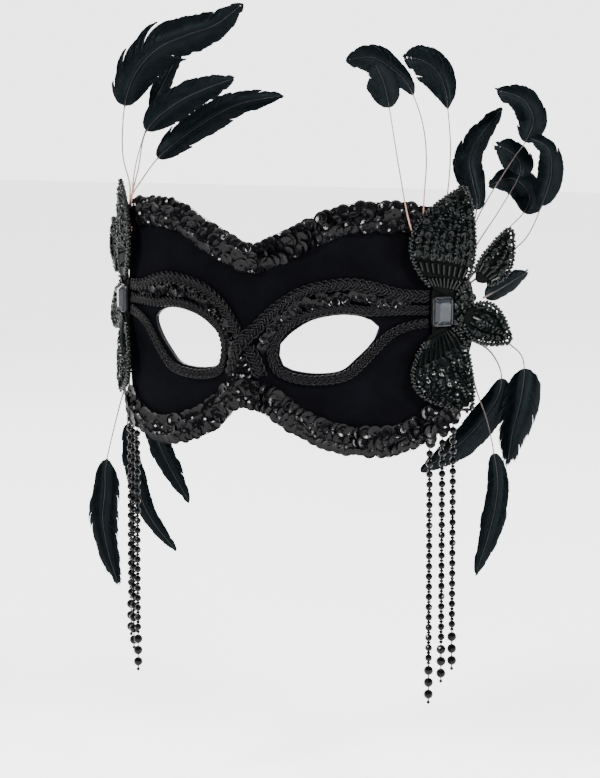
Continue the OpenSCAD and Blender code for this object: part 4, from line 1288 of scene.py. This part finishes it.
wraps, knots, covers = Build(), Build(), Build()
for side, _ in SIDES:
    for place, lean in SPRAYS[side]:
        binding(wraps, place, lean, side)
for side, _ in SIDES:
    for k in range(len(STRANDS)):
        stitch(knots, stitch_at(k, side))
for side, _ in SIDES:
    for across, height, _ in STRANDS:
        for up, size in CORNER_SEQUINS:
            place = on_face(side * across, height + up, 3.1 + 0.12 * up)
            axes = axes_from(face_normal(side * across, height + up))
            lean = rot("x", rng.uniform(-0.25, 0.1)) @ rot("y", rng.uniform(-0.25, 0.25))
            covers.put(cup_sequin(size, 0.06, 16), place, axes @ lean)
wraps.make("spray_wraps", THREAD, "mask", "thread", "quill_bindings")
knots.make("strand_knots", THREAD, "mask", "thread", "strand_stitches")
covers.make("corner_sequins", SEQUIN, "mask", "sequins", smooth=False)

# ---- CAD nodes that stay

for node, material in (("mask_shell", SHELL), ("strap_eyelet_left", EYELET),
                       ("strap_eyelet_right", EYELET)):
    materials = frame["nodes"][node].data.materials
    materials.clear()
    materials.append(material)

# ---- Stage and light

FLOOR_HALF, FLOOR_GAP = 6.0, 0.06
FRONT_ROOM, BACKDROP = 0.22, 3.6
LIGHT_TARGET = np.array([0, 0.02, 0])
# Name, place, width and height in metres, power in watts.
LIGHTS = (("key", (-0.5, -1.3, 1.1), (0.34, 0.34), 55), ("right_top", (1.2, -0.9, 1.0), (0.3, 0.3), 50),
          ("strip", (1.5, -0.3, 0.1), (0.14, 0.9), 26), ("rear", (-0.9, 1.2, 0.9), (0.5, 0.5), 14))


def make_stage():
    """A pale floor that glows a little, so that its far edge melts into the backdrop."""
    paper, nt, s = new_material("stage_paper")
    connect(nt, s, {"Base Color": ramp(nt, noise(nt, 3, 2), (0.86, 0.86, 0.86), (0.9, 0.9, 0.9)),
                    "Roughness": 0.9, "Emission Color": (1.0, 1.0, 1.0, 1),
                    "Emission Strength": 1.9})
    mesh = bpy.data.meshes.new("stage_floor")
    f, low = FLOOR_HALF, cad_box[0][2] - FLOOR_GAP
    mesh.from_pydata([(-f, -f, low), (f, -f, low), (f, f, low), (-f, f, low)], [], [(0, 1, 2, 3)])
    mesh.materials.append(paper)
    floor = bpy.data.objects.new("stage_floor", mesh)
    bpy.context.scene.collection.objects.link(floor)


def area_light(name, place, size, power):
    data = bpy.data.lights.new(name, "AREA")
    data.shape = "RECTANGLE"
    data.size, data.size_y = size
    data.energy = power
    lamp = bpy.data.objects.new(name, data)
    bpy.context.scene.collection.objects.link(lamp)
    lamp.location = place
    lamp.rotation_euler = Vector(LIGHT_TARGET - place).to_track_quat("-Z", "Y").to_euler()


def studio_world():
    """A white backdrop behind the mask and a dimmer room in front of it."""
    world = bpy.data.worlds.new("studio")
    world.use_nodes = True
    nt = world.node_tree
    coord = shader_node(nt, "TexCoord", {})
    dot = shader_node(nt, "VectorMath", {0: coord.outputs["Generated"],
                                         1: (-math.sin(CAM_AZ), math.cos(CAM_AZ), 0.0)},
                      operation="DOT_PRODUCT")
    level = shader_node(nt, "MapRange", {"Value": dot.outputs["Value"], "From Min": 0.1,
                                         "From Max": 0.8, "To Min": FRONT_ROOM, "To Max": BACKDROP},
                        interpolation_type="SMOOTHSTEP")
    connect(nt, nt.nodes["Background"], {"Strength": level.outputs["Result"],
                                         "Color": (1.0, 1.0, 1.0, 1)})
    bpy.context.scene.world = world


make_stage()
studio_world()
for light in LIGHTS:
    area_light(*light)
